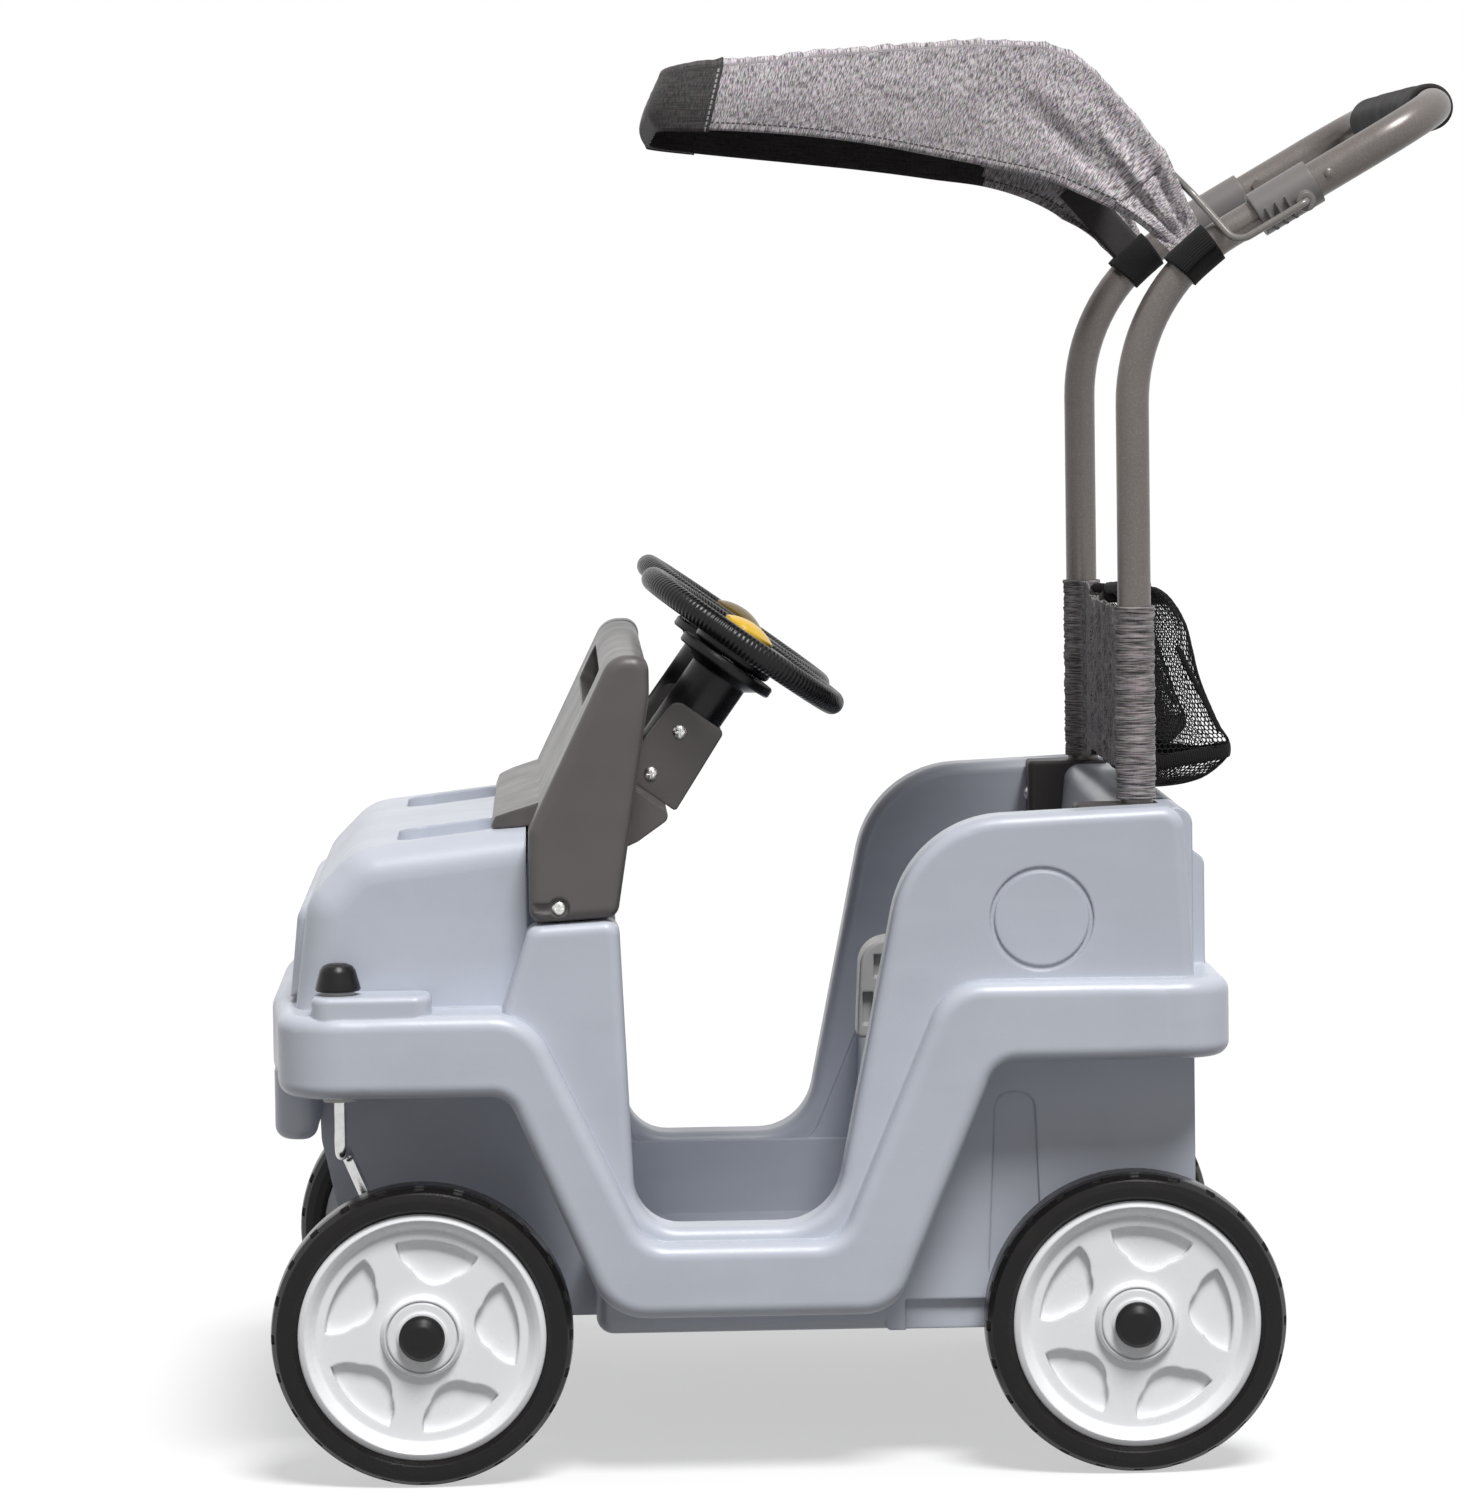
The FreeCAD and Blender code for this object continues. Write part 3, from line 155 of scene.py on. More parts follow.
def mix_colour(share, a, b, how="MIX"):
    """Colour a where share is 0, and b, or what b makes of a, where it is 1."""
    inputs = {0: share, 6: a, 7: b}
    return place(tree_of(share, a, b), "Mix", inputs, data_type="RGBA", blend_type=how).outputs[2]


def between(value, low, high, new_low=0.0, new_high=1.0):
    """Smooth step from new_low where the value is low to new_high where it is high."""
    inputs = {0: value, 1: low, 2: high, 3: new_low, 4: new_high}
    return place(tree_of(value), "MapRange", inputs, interpolation_type="SMOOTHSTEP").outputs[0]


def noise(where, scale, detail=2.0, roughness=0.5):
    """Cloudy value with about scale lumps in a unit."""
    inputs = {"Vector": where, "Scale": scale, "Detail": detail, "Roughness": roughness}
    return place(tree_of(where), "TexNoise", inputs).outputs["Fac"]


def stretched(where, x, y, z):
    """Place scaled by its own factor along each axis."""
    return place(tree_of(where), "Mapping", {"Vector": where, "Scale": (x, y, z)}).outputs[0]


def on_object(tree):
    """Place on the part, in metres."""
    return place(tree, "TexCoord").outputs["Object"]


def on_cloth(tree):
    """Place on the piece's own UV map, in metres of cloth."""
    return place(tree, "UVMap", uv_map="cloth").outputs[0]


def grey(level):
    """Colour with equal red, green and blue."""
    return (level, level, level, 1)


# %% Finish helpers
finishes = {}


def finish(name):
    """New material, kept in finishes under its name, and its node tree."""
    material = bpy.data.materials.new(name)
    material.use_nodes = True
    finishes[name] = material
    return material, material.node_tree


def complete(material, colour, roughness, relief, normal=None, **plain):
    """Join colour, roughness and relief (height, strength, depth) to the shader, and set its plain values."""
    tree = material.node_tree
    shader = tree.nodes["Principled BSDF"].inputs
    bump = place(tree, "Bump", dict(zip(("Height", "Strength", "Distance"), relief)))
    if normal is not None:
        tree.links.new(normal, bump.inputs["Normal"])
    for label, socket in (("Base Color", colour), ("Roughness", roughness), ("Normal", bump.outputs[0])):
        tree.links.new(socket, shader[label])
    for label, value in plain.items():
        shader[label.replace("_", " ")].default_value = value


# %% Mesh helpers
def grid_quads(rows, columns, closed=False):
    """Corner numbers of the quads between the points of a grid that is numbered row by row."""
    row = columns * np.arange(rows - 1)[:, None]
    column = np.arange(columns if closed else columns - 1)[None, :]
    after = (column + 1) % columns
    corners = [row + column, row + after, row + columns + after, row + columns + column]
    return np.stack(corners, axis=-1).reshape(-1, 4)


def make_piece(name, points, faces, materials, uv=None, smooth=True):
    """Object at the origin from points in millimetres; uv, in metres, has one pair for each point."""
    mesh = bpy.data.meshes.new(name)
    corner_lists = faces if isinstance(faces, list) else faces.tolist()
    mesh.from_pydata((points.reshape(-1, 3) / 1000).tolist(), [], corner_lists)
    if uv is not None:
        corners = np.empty(len(mesh.loops), int)
        mesh.loops.foreach_get("vertex_index", corners)
        mesh.uv_layers.new(name="cloth").data.foreach_set("uv", uv.reshape(-1, 2)[corners].ravel())
    mesh.polygons.foreach_set("use_smooth", np.full(len(mesh.polygons), smooth))
    for material in materials:
        mesh.materials.append(material)
    piece = bpy.data.objects.new(name, mesh)
    scene.collection.objects.link(piece)
    return piece


def weld(piece, distance, closed=False):
    """Join points that lie on each other; a closed piece also has its ends filled and faces turned out."""
    work = bmesh.new()
    work.from_mesh(piece.data)
    bmesh.ops.remove_doubles(work, verts=work.verts, dist=distance)
    if closed:
        bmesh.ops.holes_fill(work, edges=work.edges)
        bmesh.ops.recalc_face_normals(work, faces=work.faces)
    work.to_mesh(piece.data)
    work.free()


def thicken(piece, thickness, lining=0, offset=-1.0):
    """Give a sheet its thickness in millimetres; lining 1 gives the inner side the second material."""
    wall = piece.modifiers.new("cloth thickness", "SOLIDIFY")
    wall.thickness = thickness / 1000
    wall.offset = offset
    wall.material_offset = lining


def settle(piece):
    """Turn the piece's modifiers into plain mesh."""
    graph = bpy.context.evaluated_depsgraph_get()
    mesh = bpy.data.meshes.new_from_object(piece.evaluated_get(graph))
    piece.modifiers.clear()
    piece.data = mesh


def area_of(piece):
    """Area of a piece's faces in square metres, before its modifiers."""
    area = np.empty(len(piece.data.polygons))
    piece.data.polygons.foreach_get("area", area)
    return float(area.sum())


# %% Line helpers
def unit(vectors):
    """Vectors one unit long with the same directions."""
    return vectors / (np.linalg.norm(vectors, axis=-1, keepdims=True) + 1e-9)


def walked(points):
    """Distance along a line of points, from its start to each of them."""
    return np.concatenate([[0.0], np.cumsum(np.linalg.norm(np.diff(points, axis=0), axis=1))])


def through(points, count):
    """Smooth curve through points: each span is a cubic with end slopes from the points on either side."""
    points = np.asarray(points, float)
    knots = walked(points)
    slopes = np.gradient(points, knots, axis=0)
    at = np.linspace(0, knots[-1], count)
    span = np.clip(np.searchsorted(knots, at, side="right") - 1, 0, len(points) - 2)
    width = np.diff(knots)[span][:, None]
    share = (at - knots[span])[:, None] / width
    start, end = points[span], points[span + 1]
    leave, arrive = slopes[span] * width, slopes[span + 1] * width
    return (start * (1 + 2 * share) * (1 - share) ** 2 + end * share ** 2 * (3 - 2 * share)
            + leave * share * (1 - share) ** 2 - arrive * share ** 2 * (1 - share))


def ripples(at, lengths, seed):
    """Mean of sine waves of the given lengths, each with its own fixed phase."""
    phases = np.random.default_rng(seed).uniform(0, 2 * np.pi, len(lengths))
    sines = (np.sin(2 * np.pi * at / length + phase) for length, phase in zip(lengths, phases))
    return sum(sines) / len(lengths)


def ease(value, low, high):
    """Smooth step from 0 at low to 1 at high."""
    share = np.clip((value - low) / (high - low), 0, 1)
    return share * share * (3 - 2 * share)


def ruled(start, end, share):
    """Straight from start, where share is 0, to end, where it is 1."""
    return start + (end - start) * share


# %% [markdown]
# ## Stage and light
#
# The picture has a bright, even studio: a white ground with a soft shadow under the car, tops a little
# brighter than sides. One lamp far away gives even light over the whole floor and one soft shadow, and a
# white sky fills the rest. The ground looks white to the camera because the camera, and mirror-like
# surfaces, see it a little brighter.

# %% Stage
SKY_FILL, SUN_STRENGTH, SUN_WIDE = 0.27, 3.3, math.radians(20)
SUN_FROM = Vector((-0.15, 0.48, 0.865))
FLOOR_BOUNCE, FLOOR_SEEN, FLOOR_GLOW, FLOOR_HALF = 0.2, 0.42, 0.54, 45000


def seen_directly(tree):
    """1 for rays from the camera or from a mirror-like or clear surface, 0 for light that bounces."""
    path = place(tree, "LightPath").outputs
    seen = maths("MAXIMUM", path["Is Camera Ray"], path["Is Glossy Ray"])
    return maths("MAXIMUM", seen, path["Is Transmission Ray"])


world = bpy.data.worlds.new("studio")
scene.world = world
world.use_nodes = True
sky = world.node_tree
backdrop = sky.nodes["Background"].inputs
backdrop["Color"].default_value = grey(1)
sky.links.new(between(seen_directly(sky), 0, 1, SKY_FILL, 1.0), backdrop["Strength"])

ground_paint, ground_tree = finish("studio_floor")
ground_tree.nodes.remove(ground_tree.nodes["Principled BSDF"])
bounce = place(ground_tree, "BsdfDiffuse", {"Color": grey(FLOOR_BOUNCE)}).outputs[0]
lit = place(ground_tree, "BsdfDiffuse", {"Color": grey(FLOOR_SEEN)}).outputs[0]
glow = place(ground_tree, "Emission", {"Color": grey(1), "Strength": FLOOR_GLOW}).outputs[0]
bright = place(ground_tree, "AddShader", {0: lit, 1: glow}).outputs[0]
choice = place(ground_tree, "MixShader", {0: seen_directly(ground_tree), 1: bounce, 2: bright}).outputs[0]
ground_tree.links.new(choice, ground_tree.nodes["Material Output"].inputs["Surface"])

ground_line = np.linspace(-FLOOR_HALF, FLOOR_HALF, 3)
ground_points = np.stack(np.broadcast_arrays(ground_line, ground_line[:, None], 0.0), axis=-1)
ground = make_piece("studio_floor", ground_points, grid_quads(3, 3), [ground_paint])

lamp_data = bpy.data.lights.new("key", "SUN")
lamp_data.energy = SUN_STRENGTH
lamp_data.angle = SUN_WIDE
lamp = bpy.data.objects.new("key", lamp_data)
lamp.rotation_euler = SUN_FROM.to_track_quat("Z", "Y").to_euler()
scene.collection.objects.link(lamp)
print("stage ready")

# %% [markdown]
# ## Shared effects
#
# Real surfaces are never one flat tone. Moulded plastic has a faint cloudiness and a skin like fine orange
# peel, edges that hands and shoes rub turn paler and smoother, and woven cloth is a mix of light and dark
# threads. Each of these serves several finishes, so each is built once as a node group and placed in a
# material with that material's values.

# %% Group helpers
COLOURS, VECTORS = ("Colour", "Light", "Dark"), ("Normal",)


def socket_kind(label):
    """Kind of a group's socket, by its name: a colour, a direction or, for all others, a plain value."""
    if label in COLOURS:
        return "NodeSocketColor"
    return "NodeSocketVector" if label in VECTORS else "NodeSocketFloat"


def effect_group(name, inputs, outputs):
    """Node group with the given inputs (name: default) and outputs: its tree and both sets of sockets."""
    tree = bpy.data.node_groups.new(name, "ShaderNodeTree")
    for label, default in inputs.items():
        kind = socket_kind(label)
        tree.interface.new_socket(label, in_out="INPUT", socket_type=kind).default_value = default
    for label in outputs:
        tree.interface.new_socket(label, in_out="OUTPUT", socket_type=socket_kind(label))
    return tree, tree.nodes.new("NodeGroupInput").outputs, tree.nodes.new("NodeGroupOutput").inputs


def give(tree, leave, **results):
    """Join a group's results to its outputs, and hand the group back."""
    for label, socket in results.items():
        tree.links.new(socket, leave[label])
    return tree


def use(tree, group, **values):
    """Outputs of a shared effect that is placed in a material's tree with this material's own values."""
    inputs = {key.replace("_", " "): value for key, value in values.items()}
    return place(tree, "Group", inputs, node_tree=group).outputs


# %% Moulded skin
def build_mould_skin():
    """Cloudy colour, uneven gloss and a fine pebbled height for moulded plastic, on Object coordinates."""
    tree, entry, leave = effect_group("mould_skin", {
        "Colour": grey(0.5), "Cloud": 0.08, "Gloss low": 0.32, "Gloss high": 0.45, "Grain": 900.0,
    }, ("Colour", "Roughness", "Height"))
    where = on_object(tree)
    cloud = noise(where, 7.0, 4.0, 0.6)
    streak = noise(stretched(where, 6, 6, 34), 1.0, 3.0)
    shade = plus(times(cloud, 0.65), times(streak, 0.35))
    darker = mix_colour(1.0, entry["Colour"], (0.55, 0.55, 0.56, 1), "MULTIPLY")
    share = times(between(shade, 0.62, 0.34), entry["Cloud"])
    gloss = between(noise(where, 16.0, 5.0, 0.65), 0.3, 0.7)
    span = minus(entry["Gloss high"], entry["Gloss low"])
    return give(tree, leave, Colour=mix_colour(share, entry["Colour"], darker),
                Roughness=plus(entry["Gloss low"], times(gloss, span)), Height=noise(where, entry["Grain"]))


mould_skin = build_mould_skin()


# %% Rubbed edges
def build_edge_rub():
    """Mask that is 1 on rounded-over edges: how far the bevelled normal leans away from the true one."""
    tree, entry, leave = effect_group("edge_rub", {"Width": 0.003, "Break up": 60.0}, ("Mask", "Normal"))
    rounded = place(tree, "Bevel", {"Radius": entry["Width"]}, samples=4).outputs[0]
    true = place(tree, "NewGeometry").outputs["Normal"]
    lean = place(tree, "VectorMath", {0: rounded, 1: true}, operation="DOT_PRODUCT").outputs["Value"]
    patch = noise(on_object(tree), entry["Break up"], 4.0, 0.7)
    mask = times(between(lean, 0.995, 0.86), between(patch, 0.36, 0.62))
    return give(tree, leave, Mask=mask, Normal=rounded)


edge_rub = build_edge_rub()

# %% Heather cloth
ONE_BAND = 0.32


def waves(where, count, direction, **more):
    """Bands across a direction, count of them in a unit: at ONE_BAND the texture has about one in a unit."""
    tree = tree_of(where)
    scaled = place(tree, "VectorMath", {0: where, 3: count}, operation="SCALE").outputs[0]
    inputs = {"Vector": scaled, "Scale": ONE_BAND, **more}
    return place(tree, "TexWave", inputs, bands_direction=direction).outputs["Fac"]


def build_heather():
    """Woven melange: flecks along upright and level threads, mixed by Upright, and the weave's height."""
    tree, entry, leave = effect_group("heather_weave", {
        "Light": (0.6, 0.58, 0.6, 1), "Dark": (0.2, 0.19, 0.2, 1), "Thread": 900.0, "Upright": 0.7,
    }, ("Colour", "Height"))
    where = on_cloth(tree)
    along = noise(stretched(where, 45, 900, 1), 1.0, 2.0, 0.6)
    across = noise(stretched(where, 1050, 190, 1), 1.0, 2.0, 0.6)
    cloud = noise(stretched(where, 60, 60, 1), 1.0, 3.0, 0.6)
    threads = place(tree, "Mix", {0: entry["Upright"], 2: along, 3: across}).outputs[0]
    tone = plus(times(threads, 0.86), times(cloud, 0.14))
    colour = mix_colour(between(tone, 0.37, 0.63), entry["Dark"], entry["Light"])
    tint = place(tree, "TexNoise", {"Vector": stretched(where, 330, 330, 1), "Scale": 1.0}).outputs["Color"]
    tinted = mix_colour(0.22, colour, mix_colour(1.0, colour, tint, "OVERLAY"))
    weave = times(waves(where, entry["Thread"], "X"), waves(where, entry["Thread"], "Y"))
    return give(tree, leave, Colour=tinted, Height=plus(weave, times(tone, 0.6)))


heather_weave = build_heather()


# %% Webbing ribs
def build_web_rib():
    """Fine ribs across a woven band, on its UV map: colour shading and height."""
    tree, entry, leave = effect_group("web_rib", {"Colour": grey(0.02), "Ribs": 520.0}, ("Colour", "Height"))
    where = on_cloth(tree)
    rib = waves(where, entry["Ribs"], "Y", Distortion=1.5, Detail=1.0)
    fuzz = noise(stretched(where, 900, 300, 1), 1.0)
    pale = mix_colour(1.0, entry["Colour"], grey(2.1), "MULTIPLY")
    shaded = mix_colour(times(rib, fuzz), entry["Colour"], pale)
    return give(tree, leave, Colour=shaded, Height=plus(rib, times(fuzz, 0.5)))


web_rib = build_web_rib()


# %% Stitch rows
def build_stitch_row():
    """Mask of a row of stitches: near the row's line across it, and inside the dashes along it."""
    tree, entry, leave = effect_group("stitch_row", {
        "Across": 0.0, "Along": 0.0, "Row": 0.0, "Pitch": 0.0042,
    }, ("Mask",))
    off = maths("ABSOLUTE", minus(entry["Across"], entry["Row"]))
    dash = maths("FRACT", maths("DIVIDE", entry["Along"], entry["Pitch"]))
    return give(tree, leave, Mask=times(between(off, 0.0009, 0.0004), maths("LESS_THAN", dash, 0.66)))


stitch_row = build_stitch_row()
print("shared effects", mould_skin.name, edge_rub.name, heather_weave.name, web_rib.name, stitch_row.name)

# %% [markdown]
# ## Moulded plastics
#
# The body, dash, wheels and small fittings are all moulded plastic, and they differ in colour, in gloss and
# in how coarse the mould's texture was. One recipe with different values keeps them a family, and rubbed
# edges come from the same mask on all of them.

# %% Plastic finishes
def skin_and_edge(tree, colour, gloss, cloud, grain, wide):
    """Outputs of the moulded skin and of the rubbed edges, for one material."""
    low, high = gloss
    skin = use(tree, mould_skin, Colour=(*colour, 1), Cloud=cloud, Gloss_low=low, Gloss_high=high,
               Grain=grain)
    return skin, use(tree, edge_rub, Width=wide)


def moulded(name, colour, gloss, cloud=0.3, grain=420.0, bump=0.06, rub=0.25, mirror=0.5):
    """Moulded plastic: cloudy colour, paler rubbed edges, uneven gloss and a pebbled skin."""
    material, tree = finish(name)
    skin, edge = skin_and_edge(tree, colour, gloss, cloud, grain, 0.003)
    worn = tuple(min(1.0, 1.25 * level + 0.03) for level in colour)
    rubbed = mix_colour(times(edge["Mask"], rub), skin["Colour"], (*worn, 1))
    complete(material, rubbed, skin["Roughness"], (skin["Height"], bump, 0.0006), edge["Normal"],
             Specular_IOR_Level=mirror)


moulded("body_plastic", (0.53, 0.558, 0.628), (0.30, 0.40), cloud=0.16, bump=0.10)
moulded("dash_plastic", (0.118, 0.105, 0.103), (0.30, 0.40), bump=0.04, mirror=0.4)
moulded("socket_plastic", (0.05, 0.044, 0.042), (0.40, 0.55), cloud=0.4, mirror=0.3)
moulded("black_plastic", (0.007, 0.0062, 0.0065), (0.24, 0.36), cloud=0.5, bump=0.04, mirror=0.28)
moulded("rim_plastic", (0.88, 0.885, 0.90), (0.24, 0.34), cloud=0.05, grain=500, rub=0.1)
moulded("nylon", (0.72, 0.70, 0.66), (0.35, 0.5), cloud=0.2, grain=900)
moulded("clip_plastic", (0.19, 0.178, 0.172), (0.36, 0.48), cloud=0.25)
moulded("console_plastic", (0.36, 0.35, 0.345), (0.34, 0.46), cloud=0.2)
moulded("horn_plastic", (0.80, 0.50, 0.035), (0.22, 0.32), cloud=0.12, grain=500, rub=0.15)
print("plastics made:", len(finishes), "finishes with the floor")

# %% Ribbed steering wheels
STEER_X, STEER_Y, STEER_Z, STEER_TILT = 0.097, 0.132, 0.669, math.radians(35.5)
RIBS, SPOKES_END, RING_START = 150.0, 0.076, 0.080


def ribbed_wheel():
    """Black plastic whose ring has ribs: waves in the angle round the tilted column, beyond the spokes."""
    material = finishes["black_plastic"].copy()
    material.name = "steering_wheel_plastic"
    tree = material.node_tree
    at = place(tree, "SeparateXYZ", {0: on_object(tree)}).outputs
    x, z = minus(at[0], STEER_X), minus(at[2], STEER_Z)
    ahead = plus(times(x, math.cos(STEER_TILT)), times(z, math.sin(STEER_TILT)))
    aside = minus(maths("ABSOLUTE", at[1]), STEER_Y)
    wave = maths("SINE", times(maths("ARCTAN2", aside, ahead), RIBS))
    reach = maths("SQRT", plus(times(ahead, ahead), times(aside, aside)))
    rib = times(wave, between(reach, SPOKES_END, RING_START))
    skin = tree.nodes["Principled BSDF"].inputs["Normal"]
    ridges = place(tree, "Bump", {"Strength": 0.45, "Distance": 0.0004, "Height": rib,
                                  "Normal": skin.links[0].from_socket})
    tree.links.new(ridges.outputs[0], skin)
    return material


steering_wheel_plastic = ribbed_wheel()
print(RIBS, "ribs on each steering wheel")

# %% [markdown]
# ## Rubber, painted tube and steel
#
# The tyres are hard black tread with a dusty bloom. The handle is steel tube under a warm grey paint with a
# slight metallic flake, and the axles, screws and bolts are plain or zinc-plated steel, whose brightness is
# broken up by fine scratches rather than by colour.

# %% Rubber, paint and steel finishes
def tyre_rubber():
    """Black tread: smooth rubber with patches of pale dust, and rubbed edges over both."""
    material, tree = finish("tyre_rubber")
    skin, edge = skin_and_edge(tree, (0.0075, 0.0064, 0.0062), (0.22, 0.34), 0.35, 420, 0.002)
    dust = between(noise(on_object(tree), 30.0, 5.0, 0.7), 0.5, 0.8, 0.0, 0.06)
    dusty = mix_colour(dust, skin["Colour"], (0.11, 0.10, 0.092, 1))
    worn = mix_colour(times(edge["Mask"], 0.4), dusty, (0.04, 0.036, 0.035, 1))
    complete(material, worn, skin["Roughness"], (skin["Height"], 0.08, 0.0008), edge["Normal"],
             Specular_IOR_Level=0.24)


def dimmed(colour, share):
    """Colour with each of its parts reduced to a share."""
    return (*(share * level for level in colour), 1)


def tube_paint(name, colour, flake):
    """Sprayed metallic paint: tiny bright flakes in a cloudy colour, with a faintly uneven gloss."""
    material, tree = finish(name)
    where = on_object(tree)
    speck = place(tree, "TexVoronoi", {"Vector": where, "Scale": 1500.0}, feature="F1").outputs["Color"]
    spark = place(tree, "SeparateColor", {0: speck}).outputs[0]
    shade = between(noise(where, 18.0, 4.0, 0.6), 0.3, 0.7, 0.0, 0.25)
    base = mix_colour(shade, (*colour, 1), dimmed(colour, 0.7))
    flaked = mix_colour(between(spark, 0.6, 1.0, 0.0, 0.35), base, (*flake, 1))
    complete(material, flaked, between(noise(where, 40.0, 4.0), 0.3, 0.7, 0.28, 0.38),
             (noise(where, 700.0), 0.05, 0.0004), Metallic=0.3)


def plain_steel(name, colour, gloss):
    """Steel with fine scratches that run one way and cloudy plating."""
    material, tree = finish(name)
    where = on_object(tree)
    scratch = noise(stretched(where, 60, 60, 2400), 1.0, 3.0, 0.7)
    cloud = between(noise(where, 120.0, 4.0, 0.6), 0.3, 0.75, 0.0, 0.4)
    dull = mix_colour(cloud, (*colour, 1), dimmed(colour, 0.62))
    complete(material, dull, between(scratch, 0.3, 0.7, gloss, gloss + 0.16), (scratch, 0.08, 0.0003),
             use(tree, edge_rub, Width=0.0008)["Normal"], Metallic=1.0)


tyre_rubber()
tube_paint("handle_paint", (0.175, 0.154, 0.143), (0.32, 0.29, 0.27))
tube_paint("wire_paint", (0.20, 0.187, 0.176), (0.36, 0.34, 0.32))
plain_steel("axle_steel", (0.66, 0.655, 0.65), 0.10)
plain_steel("zinc_screw", (0.74, 0.735, 0.71), 0.22)
print("hard finishes made:", len(finishes), "so far")

# %% [markdown]
# ## Cloth, foam and net
#
# The canopy and the bag share one heather cloth, lighter on the canopy because it is stretched and faces
# the light, and darker on the bag, which is painted shade for the panel behind the seats. The front band and
# the lining are a plain dark weave, the cuffs are black webbing, and the pouch is knotted black net. A little
# sheen keeps cloth from looking like painted card.

# %% Soft finishes
def woven(name, light, dark, upright, sheen=0.25, stitches=()):
    """Heather cloth: mixed threads, a rough surface, a sheen, and rows of stitches (axis, place, tone)."""
    material, tree = finish(name)
    weave = use(tree, heather_weave, Light=(*light, 1), Dark=(*dark, 1), Upright=upright)
    colour = weave["Colour"]
    at = place(tree, "SeparateXYZ", {0: on_cloth(tree)}).outputs
    for axis, row, tone in stitches:
        sewn = use(tree, stitch_row, Across=at[axis], Along=at[1 - axis], Row=row)
        colour = mix_colour(sewn["Mask"], colour, (*tone, 1))
    complete(material, colour, between(weave["Height"], 0.2, 1.2, 0.78, 0.95), (weave["Height"], 0.5, 0.0005),
             Sheen_Weight=sheen, Sheen_Roughness=0.5, Specular_IOR_Level=0.25)


def banded(name, colour, ribs=520.0):
    """Webbing or elastic binding: fine ribs across the band."""
    material, tree = finish(name)
    rib = use(tree, web_rib, Colour=(*colour, 1), Ribs=ribs)
    complete(material, rib["Colour"], between(rib["Height"], 0.0, 1.4, 0.95, 0.72),
             (rib["Height"], 0.5, 0.0006), Sheen_Weight=0.06, Specular_IOR_Level=0.15)


def foam_skin():
    """Closed-cell foam: a pitted black skin with a dull, slightly uneven gloss."""
    material, tree = finish("grip_foam")
    where = on_object(tree)
    cells = place(tree, "TexVoronoi", {"Vector": where, "Scale": 900.0}, feature="F1").outputs["Distance"]
    cloud = noise(where, 45.0, 4.0, 0.6)
    colour = mix_colour(between(cloud, 0.35, 0.7), (0.010, 0.0085, 0.0082, 1), (0.025, 0.0205, 0.020, 1))
    complete(material, colour, between(cloud, 0.3, 0.7, 0.66, 0.84), (cells, 0.5, 0.0006),
             Sheen_Weight=0.05, Specular_IOR_Level=0.2)


def net_cord():
    """Black knitted strand: short pale flecks along a dark thread."""
    material, tree = finish("mesh_cloth")
    fleck = noise(on_object(tree), 1300.0, 3.0, 0.6)
    colour = mix_colour(between(fleck, 0.45, 0.75), (0.008, 0.008, 0.0085, 1), (0.045, 0.043, 0.043, 1))
    complete(material, colour, between(fleck, 0.3, 0.7, 0.6, 0.85), (fleck, 0.4, 0.0003),
             Specular_IOR_Level=0.2)


HEM_ROW, SEAM_ROW = 0.006, 0.3291
PALE_THREAD, DARK_THREAD = (0.50, 0.47, 0.48), (0.10, 0.09, 0.094)
hem_stitch, seam_stitch = (1, HEM_ROW, DARK_THREAD), (0, SEAM_ROW, PALE_THREAD)
woven("canopy_cloth", (0.80, 0.74, 0.77), (0.165, 0.148, 0.157), 0.95, stitches=[hem_stitch])
# painted shade: the bag panel's copy of the heather cloth is darker than the canopy's, for the panel in shade
# behind the seats
woven("bag_cloth", (0.50, 0.46, 0.465), (0.09, 0.081, 0.083), 0.75)
woven("sleeve_cloth", (0.41, 0.37, 0.375), (0.024, 0.021, 0.022), 0.08)
woven("valance_cloth", (0.115, 0.105, 0.106), (0.032, 0.029, 0.0295), 0.6, sheen=0.15,
      stitches=[hem_stitch, seam_stitch])
woven("lining_cloth", (0.06, 0.053, 0.054), (0.018, 0.016, 0.0165), 0.5, sheen=0.1)
banded("grey_web", (0.05, 0.046, 0.046), 700.0)
banded("strap_web", (0.0095, 0.0092, 0.0095))
foam_skin()
net_cord()
print("all finishes:", ", ".join(finishes))

# %% Finishes on the CAD parts
SIDES = (("left", 1), ("right", -1))
for part in frame["record"]["subparts"]:
    solid = nodes[part["node"]].data
    solid.materials.clear()
    solid.materials.append(finishes[part["material_slot"]])
for name, _ in SIDES:
    nodes[f"steering_wheel_{name}"].data.materials[0] = steering_wheel_plastic
nodes["handle_bolts"].data.materials[0] = finishes["handle_paint"]
print("finishes put on", len(nodes), "parts")

# %% [markdown]
# ## The horn springs
#
# A spring in each steering wheel's hub lifts the horn button. If it rode on the hub unchanged, the pressed
# button would cut through it; here each spring is only given a mesh of its own.

# %% Horn springs
for name, side in SIDES:
    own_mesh(nodes[f"horn_spring_{name}"])

# %% [markdown]
# ## The canopy's shape
#
# The canopy is a shallow cloth tray, upside down: a top over the wire frame, a skirt down both sides and
# the front, and an open back. It could be cut from flat panels, but real cloth swells over its wire,
# puckers along its seams and pulls into folds where it is drawn down to the handle. So it is one grid: each
# column starts at the hem, climbs the skirt, rolls over the edge and runs in to the middle line. The far
# half mirrors the near one, with a slacker hem.

